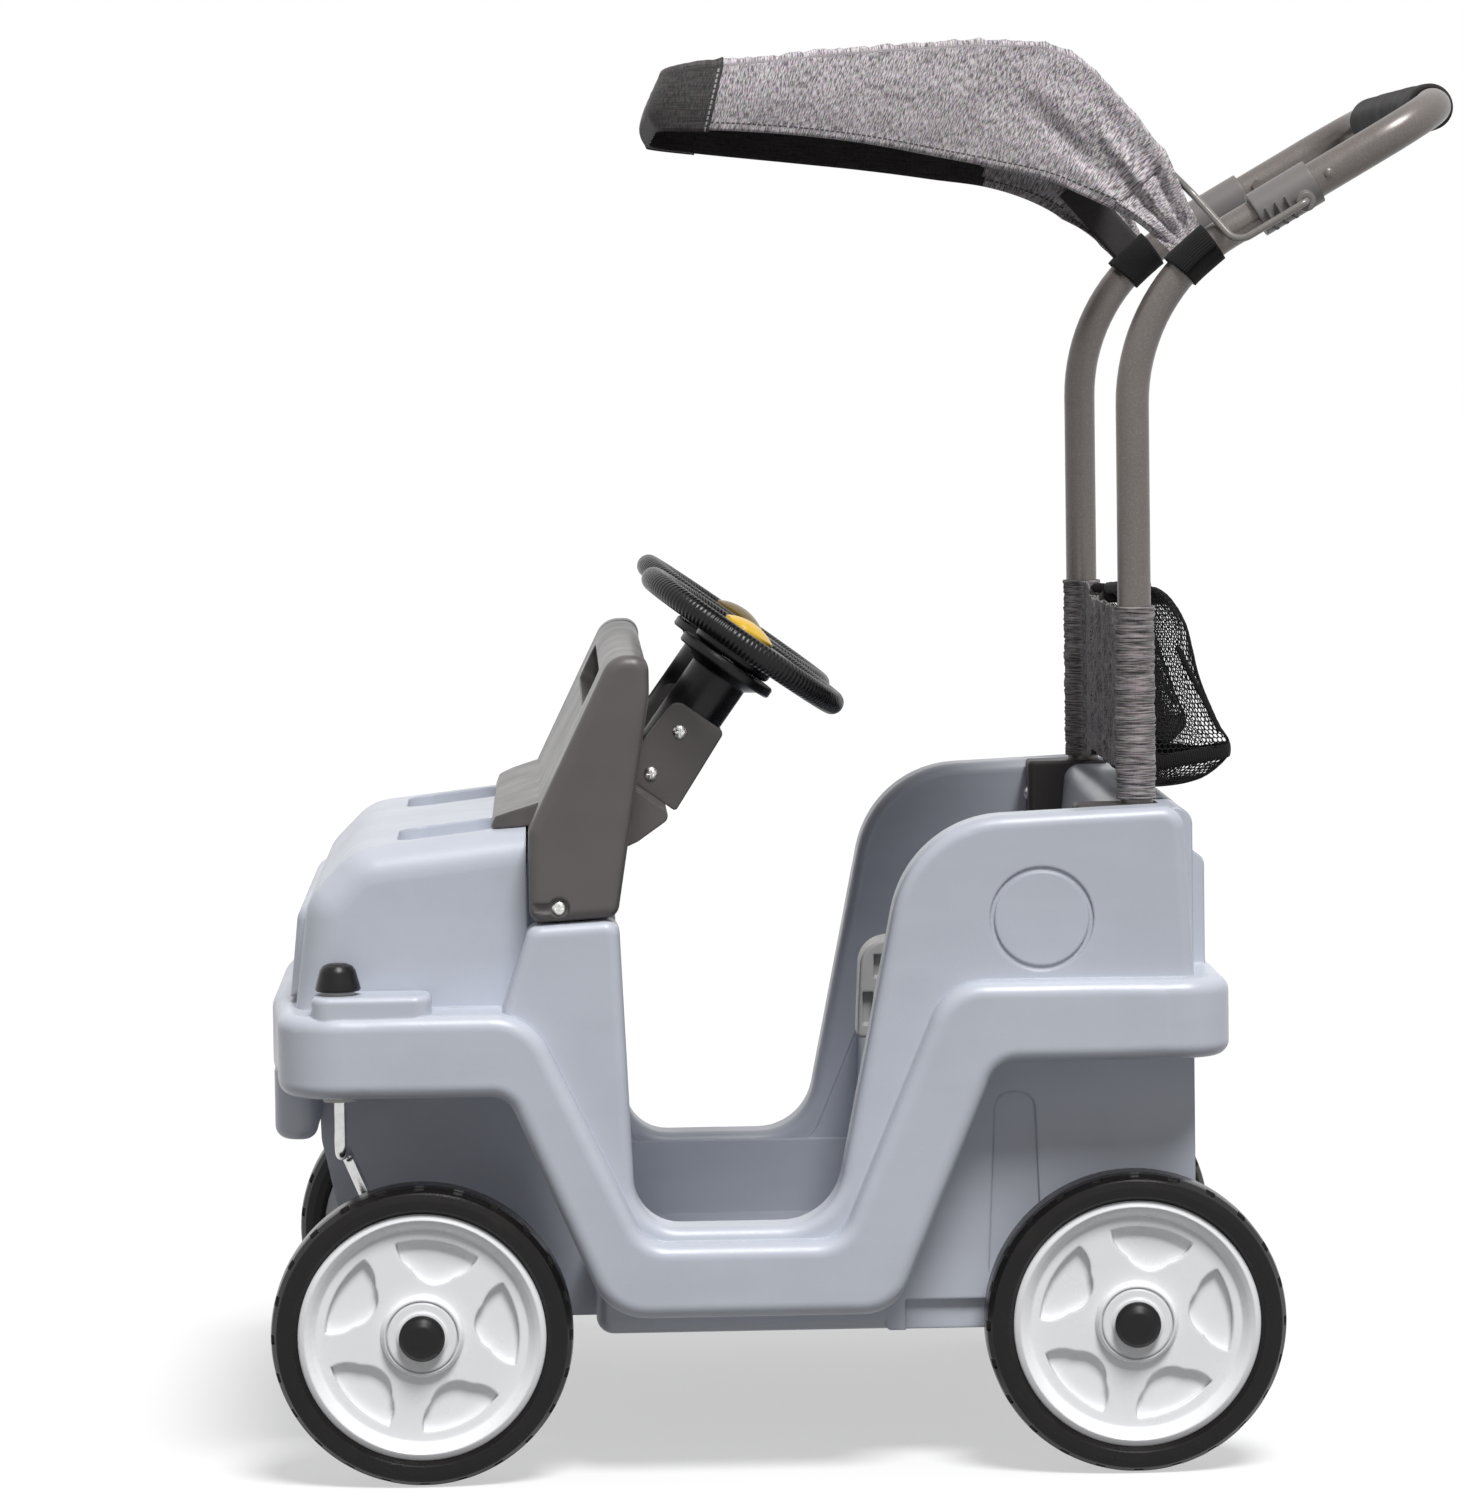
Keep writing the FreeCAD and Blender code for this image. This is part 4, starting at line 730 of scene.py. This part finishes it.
# %% Canopy lines
SKIRT_Y, CORNER, ROLL, LINE_STEPS = 252.0, 22.0, 6.0, 400
TOP_REAR, TOP_FRONT, HEM_REAR, HEM_FRONT, SPINE_BEND = -249, 160, -204, 170, 118
ALONG, ROUND, ACROSS = 96, 8, 40
SKIRT_ROWS, ROLL_ROWS, TOP_ROWS = 24, 5, 34
CUFF_X, CUFF_Z = -272, 978
top_line = through([(-249, 1063), (-207, 1115), (-176, 1144), (-150, 1154.5), (-116, 1157), (-40, 1155.5),
                    (40, 1150), (111, 1144), (160, 1138)], LINE_STEPS)
near_hem = through([(-204, 1019), (-181, 1030), (-157, 1041), (-107, 1054), (-57, 1064.5), (-7, 1074.5),
                    (47, 1082), (101, 1086.5), (172, 1089)], LINE_STEPS)
far_hem = through([(-204, 1020), (-193, 1027), (-168, 1039), (-143, 1047), (-88, 1056), (-33, 1064),
                   (35, 1072), (98, 1079), (172, 1088)], LINE_STEPS)


def top_height(x, y):
    """Height of the top: its edge line seen from the side, less a sag that is greatest along the middle."""
    sag = 5 - 3 * ease(x, 60, 160) - 3 * ease(-x, 190, 250)
    return np.interp(x, *top_line.T) - sag * (1 - (np.abs(y) / SKIRT_Y) ** 2.4)


def hem_height(x, y, side):
    """Height of the hem, each side on its own line; across the front both come to the near side's line."""
    near, far = np.interp(x, *near_hem.T), np.interp(x, *far_hem.T)
    return near if side > 0 else near + (far - near) * ease(y, 0, 200)


def plan_line(rear, front):
    """Half of the outline from above: along the side, round the front corner, in to the middle line."""
    turn = np.linspace(0, np.pi / 2, ROUND + 2)[1:-1]
    straight = front - CORNER
    x = np.concatenate([np.linspace(rear, straight, ALONG), straight + CORNER * np.sin(turn),
                        np.full(ACROSS, front)])
    y = np.concatenate([np.full(ALONG, SKIRT_Y), SKIRT_Y - CORNER * (1 - np.cos(turn)),
                        np.linspace(SKIRT_Y - CORNER, 0, ACROSS)])
    out = np.concatenate([np.zeros(ALONG), turn, np.full(ACROSS, np.pi / 2)])
    return x, y, np.sin(out), np.cos(out)


def folds(x, z):
    """Soft folds that fan out from the cuff, as waves in the angle about it, and fade out to the front."""
    angle, reach = np.arctan2(z - CUFF_Z, x - CUFF_X), np.hypot(z - CUFF_Z, x - CUFF_X)
    pull = ease(-x, 85, 180) * ease(1150 - z, 0, 45)
    return pull * (3.6 * np.sin(20 * angle + reach / 60) + 1.5 * np.sin(43 * angle + 1.3 - reach / 45))


print("canopy lines from", top_line[0].round(1), "to", top_line[-1].round(1))

# %% Canopy halves
def canopy_half(side):
    """Points and UV of one half: hem to top as a ruled strip, a quarter round, then in to the middle line."""
    top_x, y, out_x, out_y = plan_line(TOP_REAR, TOP_FRONT)
    hem_x = plan_line(HEM_REAR, HEM_FRONT)[0]
    top_z, hem_z = top_height(top_x, y), hem_height(hem_x, y, side)
    walk = walked(np.stack([hem_x, y], axis=-1))
    pucker = 1.5 * ripples(walk, (17.0, 23.0, 9.5), 3) + 0.8 * ripples(walk, (61.0, 90.0), 4)
    pucker = pucker * (1 - 0.75 * ease(top_x, 90, 140))

    up = np.linspace(0, 1, SKIRT_ROWS)[:, None]
    x, z = ruled(hem_x, top_x, up), ruled(hem_z, top_z - ROLL, up)
    bulge = 3.5 * np.sin(np.pi * up) * ease(x, -190, -60)
    bulge = bulge + folds(x, z) * np.sin(np.pi * np.clip(up, 0.08, 0.95))
    bulge = bulge + 1.0 * ripples(walk + 40 * up, (48.0, 71.0, 115.0), 5) * (1 - 0.4 * up)
    tuck = 6 * np.clip(1 - up / 0.4, 0, 1) ** 2 * out_x
    skirt = np.stack([x + (bulge - tuck) * out_x, y + bulge * out_y, z], axis=-1)
    skirt_uv = np.stack(np.broadcast_arrays(walk, z - hem_z), axis=-1)

    turn = np.linspace(0, np.pi / 2, ROLL_ROWS + 1)[1:, None]
    inward, lift = ROLL * (1 - np.cos(turn)), ROLL * (np.sin(turn) - 1) + pucker * np.sin(turn)
    edge = np.stack([top_x - inward * out_x, y - inward * out_y, top_z + lift], axis=-1)

    share = np.linspace(0, 1, TOP_ROWS)[1:, None] ** 1.25
    spine = np.concatenate([np.linspace(TOP_REAR, SPINE_BEND, ALONG),
                            np.linspace(SPINE_BEND, TOP_FRONT - ROLL, ROUND + ACROSS + 1)[1:]])
    rim_x, rim_y = top_x - ROLL * out_x, y - ROLL * out_y
    x, inner_y = ruled(rim_x, spine, share), rim_y * (1 - share)
    z = top_height(x, inner_y) - top_height(rim_x, rim_y) * (1 - share) ** 8
    z = z + (top_z + pucker) * (1 - share) ** 8 + 0.8 * ripples(x + 0.4 * inner_y, (83.0, 127.0), 6)
    top = np.stack([x, inner_y, z], axis=-1)

    over = np.concatenate([edge, top])
    points = np.concatenate([skirt, over])
    points[..., 1] *= side
    return points, np.concatenate([skirt_uv, over[..., :2] + (900, 500)]) / 1000


def two_halves(name, halves, materials):
    """Join the near and far halves along the middle line, each with its faces outwards."""
    points, uv, faces, base = [], [], [], 0
    for side, (half, half_uv) in halves:
        quads = grid_quads(*half.shape[:2])
        faces.append((quads[:, ::-1] if side > 0 else quads) + base)
        points.append(half.reshape(-1, 3))
        uv.append(half_uv.reshape(-1, 2))
        base += len(points[-1])
    piece = make_piece(name, np.concatenate(points), np.concatenate(faces), materials, np.concatenate(uv))
    weld(piece, 0.0003)
    return piece


canopy_sides = [(side, canopy_half(side)) for _, side in SIDES]
print("canopy grid", canopy_sides[0][1][0].shape[:2], "on each side")

# %% Canopy cover
LINED_FROM, LINED_WITHIN = -0.135, 0.244
cover_cloth, lining = finishes["canopy_cloth"], finishes["lining_cloth"]
canopy = two_halves("canopy_cover_cloth", canopy_sides, [cover_cloth, lining, cover_cloth, cover_cloth])
canopy_flat = area_of(canopy)
middles = np.empty(3 * len(canopy.data.polygons))
canopy.data.polygons.foreach_get("center", middles)
middles = middles.reshape(-1, 3)
unlined = (middles[:, 0] < LINED_FROM) & (np.abs(middles[:, 1]) > LINED_WITHIN)
canopy.data.polygons.foreach_set("material_index", np.where(unlined, 2, 0).astype(np.int32))
thicken(canopy, 1.4, lining=1)
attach(canopy, "canopy")
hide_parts("canopy_cover")
print("canopy", len(canopy.data.polygons), "faces,", round(canopy_flat, 3), "square metres")

# %% [markdown]
# ## The dark front band
#
# A second, darker cloth is sewn over the front of the skirt and turns over the front edge. Painting it on
# the canopy by a mask would lose its thickness and its seam, so it is a sheet of its own: the same grid cut
# off ahead of the seam and moved out by a little more than the cloth is thick.

# %% Front band
SEAM_X, BAND_LIFT, BAND_DROP = 112.0, 1.1, 1.2


def band_half(half, side):
    """The part of the canopy's grid ahead of the seam, from the hem over the rolled edge, moved outwards."""
    points, uv = half
    out = np.cross(np.gradient(points, axis=0), np.gradient(points, axis=1)) * side
    out[:, -1, 1] = 0
    moved = points + BAND_LIFT * unit(out)
    moved[0, :, 2] -= BAND_DROP
    first = int(np.searchsorted(points[SKIRT_ROWS // 2, :ALONG, 0], SEAM_X))
    rows = SKIRT_ROWS + ROLL_ROWS + 1
    return moved[:rows, first:], uv[:rows, first:]


band_sides = [(side, band_half(half, side)) for side, half in canopy_sides]
front_band = two_halves("canopy_front_band", band_sides, [finishes["valance_cloth"], lining])
band_flat = area_of(front_band)
thicken(front_band, 0.8)
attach(front_band, "canopy")
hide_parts("canopy_valance")
print("front band", round(band_flat, 4), "square metres")

# %% [markdown]
# ## The tails
#
# At the back, the skirt narrows on each side into a tail that is drawn down to a cuff on the handle tube.
# It joins the canopy at its top and the handle at its foot. Each tail is a ruled sheet from the skirt's back
# edge to the cuff, with the same folds running through both.

# %% Tails
TAIL_TOP, TAIL_TOP_UPPER = np.array([HEM_REAR, 1019.0]), np.array([TOP_REAR, 1062.0])
TAIL_FOOT, TAIL_FOOT_UPPER = np.array([-253.0, 980.0]), np.array([-276.0, 1002.0])
TAIL_Y, TAIL_LAP, TAIL_LONG, TAIL_WIDE = 251, -0.10, 60, 62


def tail_points(side, rows=26, columns=30):
    """Ruled sheet between the skirt's back edge and the cuff, hollowed along its two free edges."""
    up = np.linspace(0, 1, rows)[:, None]
    away = np.linspace(TAIL_LAP, 1, columns)[None, :]
    (top_x, top_z), (foot_x, foot_z) = (
        [ruled(low, high, up) for low, high in zip(*edge)]
        for edge in ((TAIL_TOP, TAIL_TOP_UPPER), (TAIL_FOOT, TAIL_FOOT_UPPER)))
    x, z = ruled(top_x, foot_x, away), ruled(top_z, foot_z, away)
    hollow = 5 * np.sin(np.pi * np.clip(away, 0, 1)) * (1 - 2 * up)
    z = z + hollow * np.where(up < 0.5, 1.0, 0.5)
    y = TAIL_Y - 1.6 * (1 - ease(away, TAIL_LAP, 0.12)) + folds(x, z) * 0.9 * (1 - ease(away, 0.45, 1.0))
    y = y - 1.5 * ease(away, 0.6, 1.0) + 1.2 * np.sin(np.pi * up) * np.sin(2 * np.pi * away * 2.2)
    uv = np.stack(np.broadcast_arrays(away * TAIL_LONG, up * TAIL_WIDE), axis=-1) / 1000
    return np.stack([x, side * y, z], axis=-1), uv


def side_sheet(name, side, shape, material):
    """Sheet of one side from its points and UV, with the same face outwards on the left and the right."""
    points, uv = shape
    quads = grid_quads(*points.shape[:2])
    return make_piece(name, points, quads if side > 0 else quads[:, ::-1], [material], uv)


for name, side in SIDES:
    tail = side_sheet(f"canopy_tail_{name}", side, tail_points(side), cover_cloth)
    tail_flat = area_of(tail)
    thicken(tail, 1.0)
    settle(tail)
    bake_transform(tail)
    print(name, "tail", len(tail.data.polygons), "faces,", round(tail_flat, 5), "square metres")

# %% [markdown]
# ## The straps
#
# Inside each tail, a grey webbing strap takes the pull from the canopy to the cuff, so that the cloth only
# has to look good. Webbing hardly stretches or wrinkles, so a strap is a flat band that twists a little on
# its way, modelled directly rather than by a simulation.

# %% Straps
STRAP_TOP, STRAP_FOOT = np.array([-212.0, 1049.0]), np.array([-267.0, 986.0])
STRAP_Y, STRAP_WIDE = 240, 28.0


def strap_points(side, rows=30, columns=8):
    """Flat band from canopy to cuff: a straight middle line, its width square to it, bowed inwards."""
    along = np.linspace(0, 1, rows)[:, None]
    across = np.linspace(-0.5, 0.5, columns)[None, :] * STRAP_WIDE
    run = STRAP_FOOT - STRAP_TOP
    length = np.linalg.norm(run)
    square = np.array([run[1], -run[0]]) / length
    x, z = (STRAP_TOP[i] + run[i] * along + square[i] * across for i in (0, 1))
    y = STRAP_Y + 5 * along - 1.5 * np.sin(np.pi * along) + 0.05 * across * np.sin(np.pi * along)
    uv = np.stack(np.broadcast_arrays(across, along * length), axis=-1) / 1000
    return np.stack([x, side * y, z], axis=-1), uv


for name, side in SIDES:
    strap = side_sheet(f"canopy_strap_{name}", side, strap_points(side), finishes["grey_web"])
    strap_flat = area_of(strap)
    thicken(strap, 1.4)
    settle(strap)
    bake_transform(strap)
    print(name, "strap", len(strap.data.polygons), "faces,", round(strap_flat, 5), "square metres")

# %% [markdown]
# ## The cuffs
#
# Each tail ends in a cuff of black webbing that wraps the tube a little more than once and grips itself. A
# plain ring would show no lap, so the band is a spiral: its radius grows as it goes round, and it follows
# the bend of the tube.

# %% Cuffs
TUBE_X, TUBE_Y, BEND_R = -218.0, 249.0, 160.0
BEND_Z = 954.0 - BEND_R * math.tan(math.radians(30))
CUFF_FROM, CUFF_TO, CUFF_START, CUFF_TURNS = 41.6, 54.4, 0.35, 1.22
CUFF_R, CUFF_GROWTH, CUFF_WIDE = 14.3, 2.1, 0.036


def cuff_points(side, rows=16, columns=84):
    """Band round the bent tube: station along the bend, angle round the tube, radius growing with it."""
    along = np.radians(np.linspace(CUFF_FROM, CUFF_TO, rows))[:, None]
    turns = np.linspace(0, CUFF_TURNS, columns)[None, :]
    round_ = CUFF_START + 2 * np.pi * turns
    radius = CUFF_R + CUFF_GROWTH * turns ** 1.2 + 0.35 * np.sin(3 * round_ + 20 * along)
    reach = BEND_R + radius * np.cos(round_)
    points = np.stack([TUBE_X - BEND_R + reach * np.cos(along), side * (TUBE_Y + radius * np.sin(round_)),
                       BEND_Z + reach * np.sin(along)], axis=-1)
    return points, np.stack(np.broadcast_arrays(along * BEND_R / 1000, 0.015 * round_), axis=-1)


for name, side in SIDES:
    cuff = side_sheet(f"cuff_{name}", side, cuff_points(side), finishes["strap_web"])
    cuff_flat = area_of(cuff)
    thicken(cuff, 1.3, offset=1.0)
    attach(cuff, "chassis")
    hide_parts(f"strap_cuff_{name}")
    print(name, "cuff", round(cuff_flat, 5), "square metres")

# %% [markdown]
# ## The bag panel
#
# Behind the seats, a cloth panel is stretched between the two handle tubes, with a sleeve round each. The
# sleeves are longer than the tube they cover, so they bunch into rings, and the panel between them hangs in
# upright wrinkles. One strip does it all: seen from above it goes round one tube, across to the other and
# round that one.

# %% Bag panel
SLEEVE_R, SLEEVE_IN, PANEL_BACK = 15.6, 27, 1.6
BAG_LOW, BAG_HIGH = 541.8, 698


def sleeve_loop(count=72):
    """Plan of the near sleeve as (forward, sideways) from the tube: in at the front, round it, out behind."""
    turn = np.radians(np.linspace(38, 322, 48))
    ring = np.stack([SLEEVE_R * np.sin(turn), -SLEEVE_R * np.cos(turn)], axis=-1)
    start, end = [(PANEL_BACK, -SLEEVE_IN), (2.6, -22)], [(-2.6, -22), (-PANEL_BACK, -SLEEVE_IN)]
    return through(np.concatenate([start, ring, end]), count)


def bag_panel_points(rows=90, span=150):
    """Strip swept up the tubes: gathers in rings on the sleeves, upright wrinkles and a sagging top between."""
    loop = sleeve_loop()
    across = np.linspace(TUBE_Y - SLEEVE_IN, SLEEVE_IN - TUBE_Y, span + 2)[1:-1]
    flat = np.stack([np.full(span, -PANEL_BACK), across], axis=-1)
    plan = np.concatenate([loop + (0, TUBE_Y), flat, -loop[::-1] - (0, TUBE_Y)])
    plan_x, plan_y = plan.T
    sleeve = np.concatenate([np.ones(len(loop)), np.zeros(span), np.ones(len(loop))])
    from_tube = np.stack([plan_x, np.where(sleeve > 0, plan_y - np.sign(plan_y) * TUBE_Y, 0.0)], axis=-1)
    out_x, out_y = (unit(from_tube) * sleeve[:, None]).T

    up = np.linspace(0, 1, rows)[:, None]
    hug = ease(TUBE_Y - np.abs(plan_y), 30, 70) * (1 - sleeve)
    high = BAG_HIGH - 11 * hug + 2.5 * ripples(plan_y, (70.0, 41.0), 11) * hug
    z = ruled(BAG_LOW + 9 * hug, high, up)
    gather = 0.9 * ripples(z + 9 * np.sin(0.02 * plan_y) * sleeve, (4.9, 3.7, 8.3), 12)
    gather = gather + 0.5 * ripples(z, (23.0, 31.0), 13)
    gather = gather * ease(np.linalg.norm(from_tube, axis=1), 10, 15) * sleeve
    wave = plan_y + 7 * ripples(z, (90.0, 63.0), 14)
    wrinkle = 3.0 * ripples(wave, (34.0, 21.0, 55.0), 15) + 1.4 * ripples(wave + 0.6 * z, (29.0, 17.0), 16)
    x = TUBE_X + plan_x + gather * out_x + (wrinkle - 2.5) * hug
    points = np.stack([x, plan_y + gather * out_y, z], axis=-1)
    uv = np.stack(np.broadcast_arrays(walked(plan), z), axis=-1) / 1000
    return points, uv, np.tile(sleeve[:-1] * sleeve[1:] > 0, rows - 1)


points, uv, on_sleeve = bag_panel_points()
# the flat panel takes the darker copy of the heather cloth, which is painted shade
bag_panel = make_piece("bag_panel_cloth", points, grid_quads(*points.shape[:2])[:, ::-1],
                       [finishes["bag_cloth"], finishes["sleeve_cloth"]], uv)
bag_panel.data.polygons.foreach_set("material_index", on_sleeve.astype(np.int32))
panel_flat = area_of(bag_panel)
thicken(bag_panel, 0.9, offset=0.0)
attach(bag_panel, "chassis")
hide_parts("bag_panel")
print("bag panel", round(panel_flat, 4), "square metres")

# %% [markdown]
# ## The net pouch
#
# The pouch is knotted net: a back that slopes out towards a baggy foot, and an upright gusset at each end
# that daylight shows through. A picture of holes on a sheet would look flat at its edge, so every strand is
# real: a six-sided lattice is laid out flat, carried round the pouch, and each of its edges becomes a thin
# three-sided strand.

# %% Pouch surface
POUCH_HALF, POUCH_BACK, GUSSET = 186.0, TUBE_X - 2.0, 80.0
pouch_line = through([(16, 705), (29, 699), (40, 688), (49.5, 672.5), (53, 660), (58, 637), (66, 612.5),
                      (74, 592), (80, 581), (79, 569), (69, 558.5), (54, 550), (34, 547), (14, 547.5),
                      (1.5, 550)], 300)
half_plan = through([(0, 186), (40, 186), (72, 185.5), (80, 178), (70, 158), (54, 132), (43, 96), (40, 50),
                     (40, 0)], 160)
pouch_plan = np.concatenate([half_plan, half_plan[-2::-1] * (1, -1)]) / (GUSSET, 1)
pouch_walk, plan_walk = walked(pouch_line), walked(pouch_plan * (GUSSET, 1))
NET_W, NET_L = float(plan_walk[-1]), float(pouch_walk[-1])


def pouch_surface(round_, down):
    """Point of the pouch from millimetres round its plan (gusset, back, gusset) and down its side line."""
    depth, height = (np.interp(down, pouch_walk, line) for line in pouch_line.T)
    share, y = (np.interp(round_, plan_walk, line) for line in pouch_plan.T)
    height = height + (9.5 * y / POUCH_HALF - 2.5) * (1 - ease(down, 0, 110))
    sag = 3.0 * ripples(y + 0.3 * down, (95.0, 61.0), 21) * ease(down, 5, 60) * share ** 2
    puff = 2.5 * ripples(height + 0.8 * depth * share, (66.0, 43.0), 22)
    puff = puff * ease(np.abs(y), 150, POUCH_HALF) * ease(share, 0, 0.4)
    x = POUCH_BACK - depth * share - sag * 0.6
    return np.stack(np.broadcast_arrays(x, y + puff, height + sag * 0.5), axis=-1)


def outward(round_, down):
    """Unit normal of the pouch: the cross product of a short step round it and a short step down it."""
    at = pouch_surface(round_, down)
    return unit(np.cross(pouch_surface(round_ + 0.5, down) - at, pouch_surface(round_, down + 0.5) - at))


print("pouch", round(NET_W), "mm round by", round(NET_L), "mm down")

# %% Net
CELL, STRAND_R, SHORTEST = 4.6, 0.55, 0.4


def lattice(width, length, cell):
    """Edges of a six-sided lattice over a flat strip, as an array of pairs of end points."""
    side = cell / math.sqrt(3)
    columns, rows = int(width / cell) + 2, int(length / (1.5 * side)) + 2
    row, column = np.meshgrid(np.arange(rows), np.arange(columns), indexing="ij")
    centre = np.stack([(column + 0.5 * (row % 2)) * cell, row * 1.5 * side], axis=-1).reshape(-1, 2)
    angle = np.radians(30 + 60 * np.arange(4))
    corner = centre[:, None, :] + side * np.stack([np.cos(angle), np.sin(angle)], axis=-1)[None]
    ends = np.stack([corner[:, :-1], corner[:, 1:]], axis=2).reshape(-1, 2, 2)
    middle = ends.mean(axis=1)
    inside = ((middle > 0) & (middle < (width, length))).all(axis=1)
    return np.clip(ends[inside], 0, (width, length))


def strands(start, end, normal, radius):
    """Three-sided closed prisms from start to end: three corners round each end, three sides and two caps."""
    run = unit(end - start)
    aside = unit(np.cross(run, normal))
    over = np.cross(run, aside)
    turn = np.radians((90, 210, 330))[None, :, None]
    ring = radius * (np.cos(turn) * aside[:, None] + np.sin(turn) * over[:, None])
    points = np.concatenate([start[:, None] + ring, end[:, None] + ring], axis=1)
    base = 6 * np.arange(len(start))[:, None, None]
    sides = np.array([(0, 1, 4, 3), (1, 2, 5, 4), (2, 0, 3, 5)])[None] + base
    caps = np.array([(0, 2, 1), (3, 4, 5)])[None] + base
    return points, sides.reshape(-1, 4).tolist() + caps.reshape(-1, 3).tolist()


ends = lattice(NET_W, NET_L, CELL).reshape(-1, 2).T
start, end = pouch_surface(*ends).reshape(-1, 2, 3).swapaxes(0, 1)
normal = outward(*ends).reshape(-1, 2, 3).mean(axis=1)
long_enough = np.linalg.norm(end - start, axis=1) > SHORTEST
net_points, net_faces = strands(start[long_enough], end[long_enough], normal[long_enough], STRAND_R)
net = make_piece("pouch_net", net_points, net_faces, [finishes["mesh_cloth"]], smooth=False)
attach(net, "chassis")
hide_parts("bag_pouch")
print("net", int(long_enough.sum()), "strands,", round(area_of(net) / 2, 4), "square metres of strand")

# %% [markdown]
# ## The pouch's bindings
#
# Net frays, so every edge of the pouch is bound: elastic at the mouth with a strip of plain cloth under it,
# a broad tape round the foot, a cord seam up each corner and a tape across each gusset. The tapes are
# flattened tubes carried along lines on the same surface as the net, so they follow every sag of it.

# %% Pouch bindings
ROUND_BINDING, GATHERS, NEARLY_UP = 14, 0.112, np.array([0.001, 0.001, 1.001])
CORNER_AT, SEAM_HIGH, SEAM_LOW = 88, (-258, 662), (-294, 590)


def bound_edge(name, path, wide, thick, seed):
    """Flattened tube carried along a path, pinched by small gathers, with closed ends."""
    run = unit(np.gradient(path, axis=0))
    aside = unit(np.cross(run, NEARLY_UP))
    over = np.cross(aside, run)
    walk = walked(path)
    swell = 1 + GATHERS * ripples(walk, (7.3, 5.1, 13.0), seed)
    swell = swell * np.sqrt(np.clip(np.minimum(walk, walk[-1] - walk) / wide, 1e-6, 1))
    turn = np.linspace(0, 2 * np.pi, ROUND_BINDING, endpoint=False)
    flattened = thick * np.cos(turn)[:, None] * aside[:, None] + wide * np.sin(turn)[:, None] * over[:, None]
    points = path[:, None] + swell[:, None, None] * flattened
    uv = np.stack(np.broadcast_arrays(turn[None, :] * 0.003, walk[:, None] / 1000), axis=-1)
    quads = grid_quads(len(path), ROUND_BINDING, closed=True)
    piece = make_piece(name, points, quads, [finishes["strap_web"]], uv)
    weld(piece, 0.00004, closed=True)
    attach(piece, "chassis")
    return piece


sweep = np.linspace(1, NET_W - 1, 300)
foot_drop = 152 + 13 * (1 - np.interp(sweep, plan_walk, pouch_plan[:, 0]))
bindings = [bound_edge("pouch_mouth_elastic", pouch_surface(sweep, 0 * sweep), 4.6, 2.8, 31),
            bound_edge("pouch_foot_band", pouch_surface(sweep, foot_drop), 6.5, 1.6, 32)]
drop = np.linspace(4, NET_L - 30, 120)
slant = np.linspace(0, 1, 60)
for name, side in SIDES:
    corner_line = np.full(len(drop), CORNER_AT if side > 0 else NET_W - CORNER_AT)
    bindings.append(bound_edge(f"pouch_corner_{name}", pouch_surface(corner_line, drop), 1.3, 1.3, 33))
    seam_x, seam_z = (ruled(high, low, slant) for high, low in zip(SEAM_HIGH, SEAM_LOW))
    seam_y = side * (POUCH_HALF + 1 + 2 * np.sin(np.pi * slant))
    seam_line = np.stack([seam_x, seam_y, seam_z], axis=-1)
    bindings.append(bound_edge(f"pouch_seam_{name}", seam_line, 2.2, 0.9, 34))
print(len(bindings), "tapes and cords on the pouch")

# %% Mouth strip
STRIP_LIFT, STRIP_ROWS, STRIP_COLUMNS = 0.9, 12, 260
round_, down = np.meshgrid(np.linspace(0.5, NET_W - 0.5, STRIP_COLUMNS), np.linspace(1, 27, STRIP_ROWS))
strip_points = pouch_surface(round_, down) + STRIP_LIFT * outward(round_, down)
strip_uv = np.stack([round_ + 400, down + 40], axis=-1) / 1000
mouth_strip = make_piece("pouch_mouth_strip", strip_points, grid_quads(STRIP_ROWS, STRIP_COLUMNS)[:, ::-1],
                         [finishes["valance_cloth"]], strip_uv)
thicken(mouth_strip, 0.7)
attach(mouth_strip, "chassis")
bindings.append(mouth_strip)
max(0.3 * NET_W * NET_L / 1e6, area_of(net) / 2 / 0.95)
print(len(bindings), "bindings with the strip at the mouth")

# %% [markdown]
# ## The foam grip
#
# A black foam sleeve is pushed onto the straight top of the handle. It is a tube with rounded ends that
# swells a little between them and is uneven where hands have squeezed it, turned as one closed outline so
# that its bore is real too.

# %% Foam grip
GRIP_R, BORE_R, SQUEEZED = 20.0, 15.3, 0.12
grip_low, grip_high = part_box("handle_grip")


def grip_points(columns=72, steps=120):
    """Closed outline of the wall: from one rounded end over the outside to the other, back by the bore."""
    half = (grip_high.y - grip_low.y) * 500
    middle = (grip_low + grip_high) * 500
    at = np.linspace(-1, 1, steps)
    outer = GRIP_R - 0.7 * at ** 2 - 3.2 * np.abs(at) ** 60
    outer = outer + 0.18 * ripples(at * half, (47.0, 29.0, 83.0), 41)
    along = np.concatenate([at * half, at[::-1] * half])[:, None]
    radius = np.concatenate([outer, np.full(steps, BORE_R)])[:, None]
    turn = np.linspace(0, 2 * np.pi, columns, endpoint=False)
    radius = radius + np.where(radius > BORE_R + 0.2, SQUEEZED, 0.0) * np.sin(3 * turn + 0.05 * along)
    x, z = middle.x + radius * np.cos(turn), middle.z + radius * np.sin(turn)
    points = np.stack(np.broadcast_arrays(x, along, z), axis=-1)
    return np.concatenate([points, points[:1]])


points = grip_points()
grip = make_piece("foam_grip", points, grid_quads(*points.shape[:2], closed=True), [finishes["grip_foam"]])
weld(grip, 0.00002, closed=True)
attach(grip, "chassis")
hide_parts("handle_grip")
print("grip", len(grip.data.polygons), "faces")
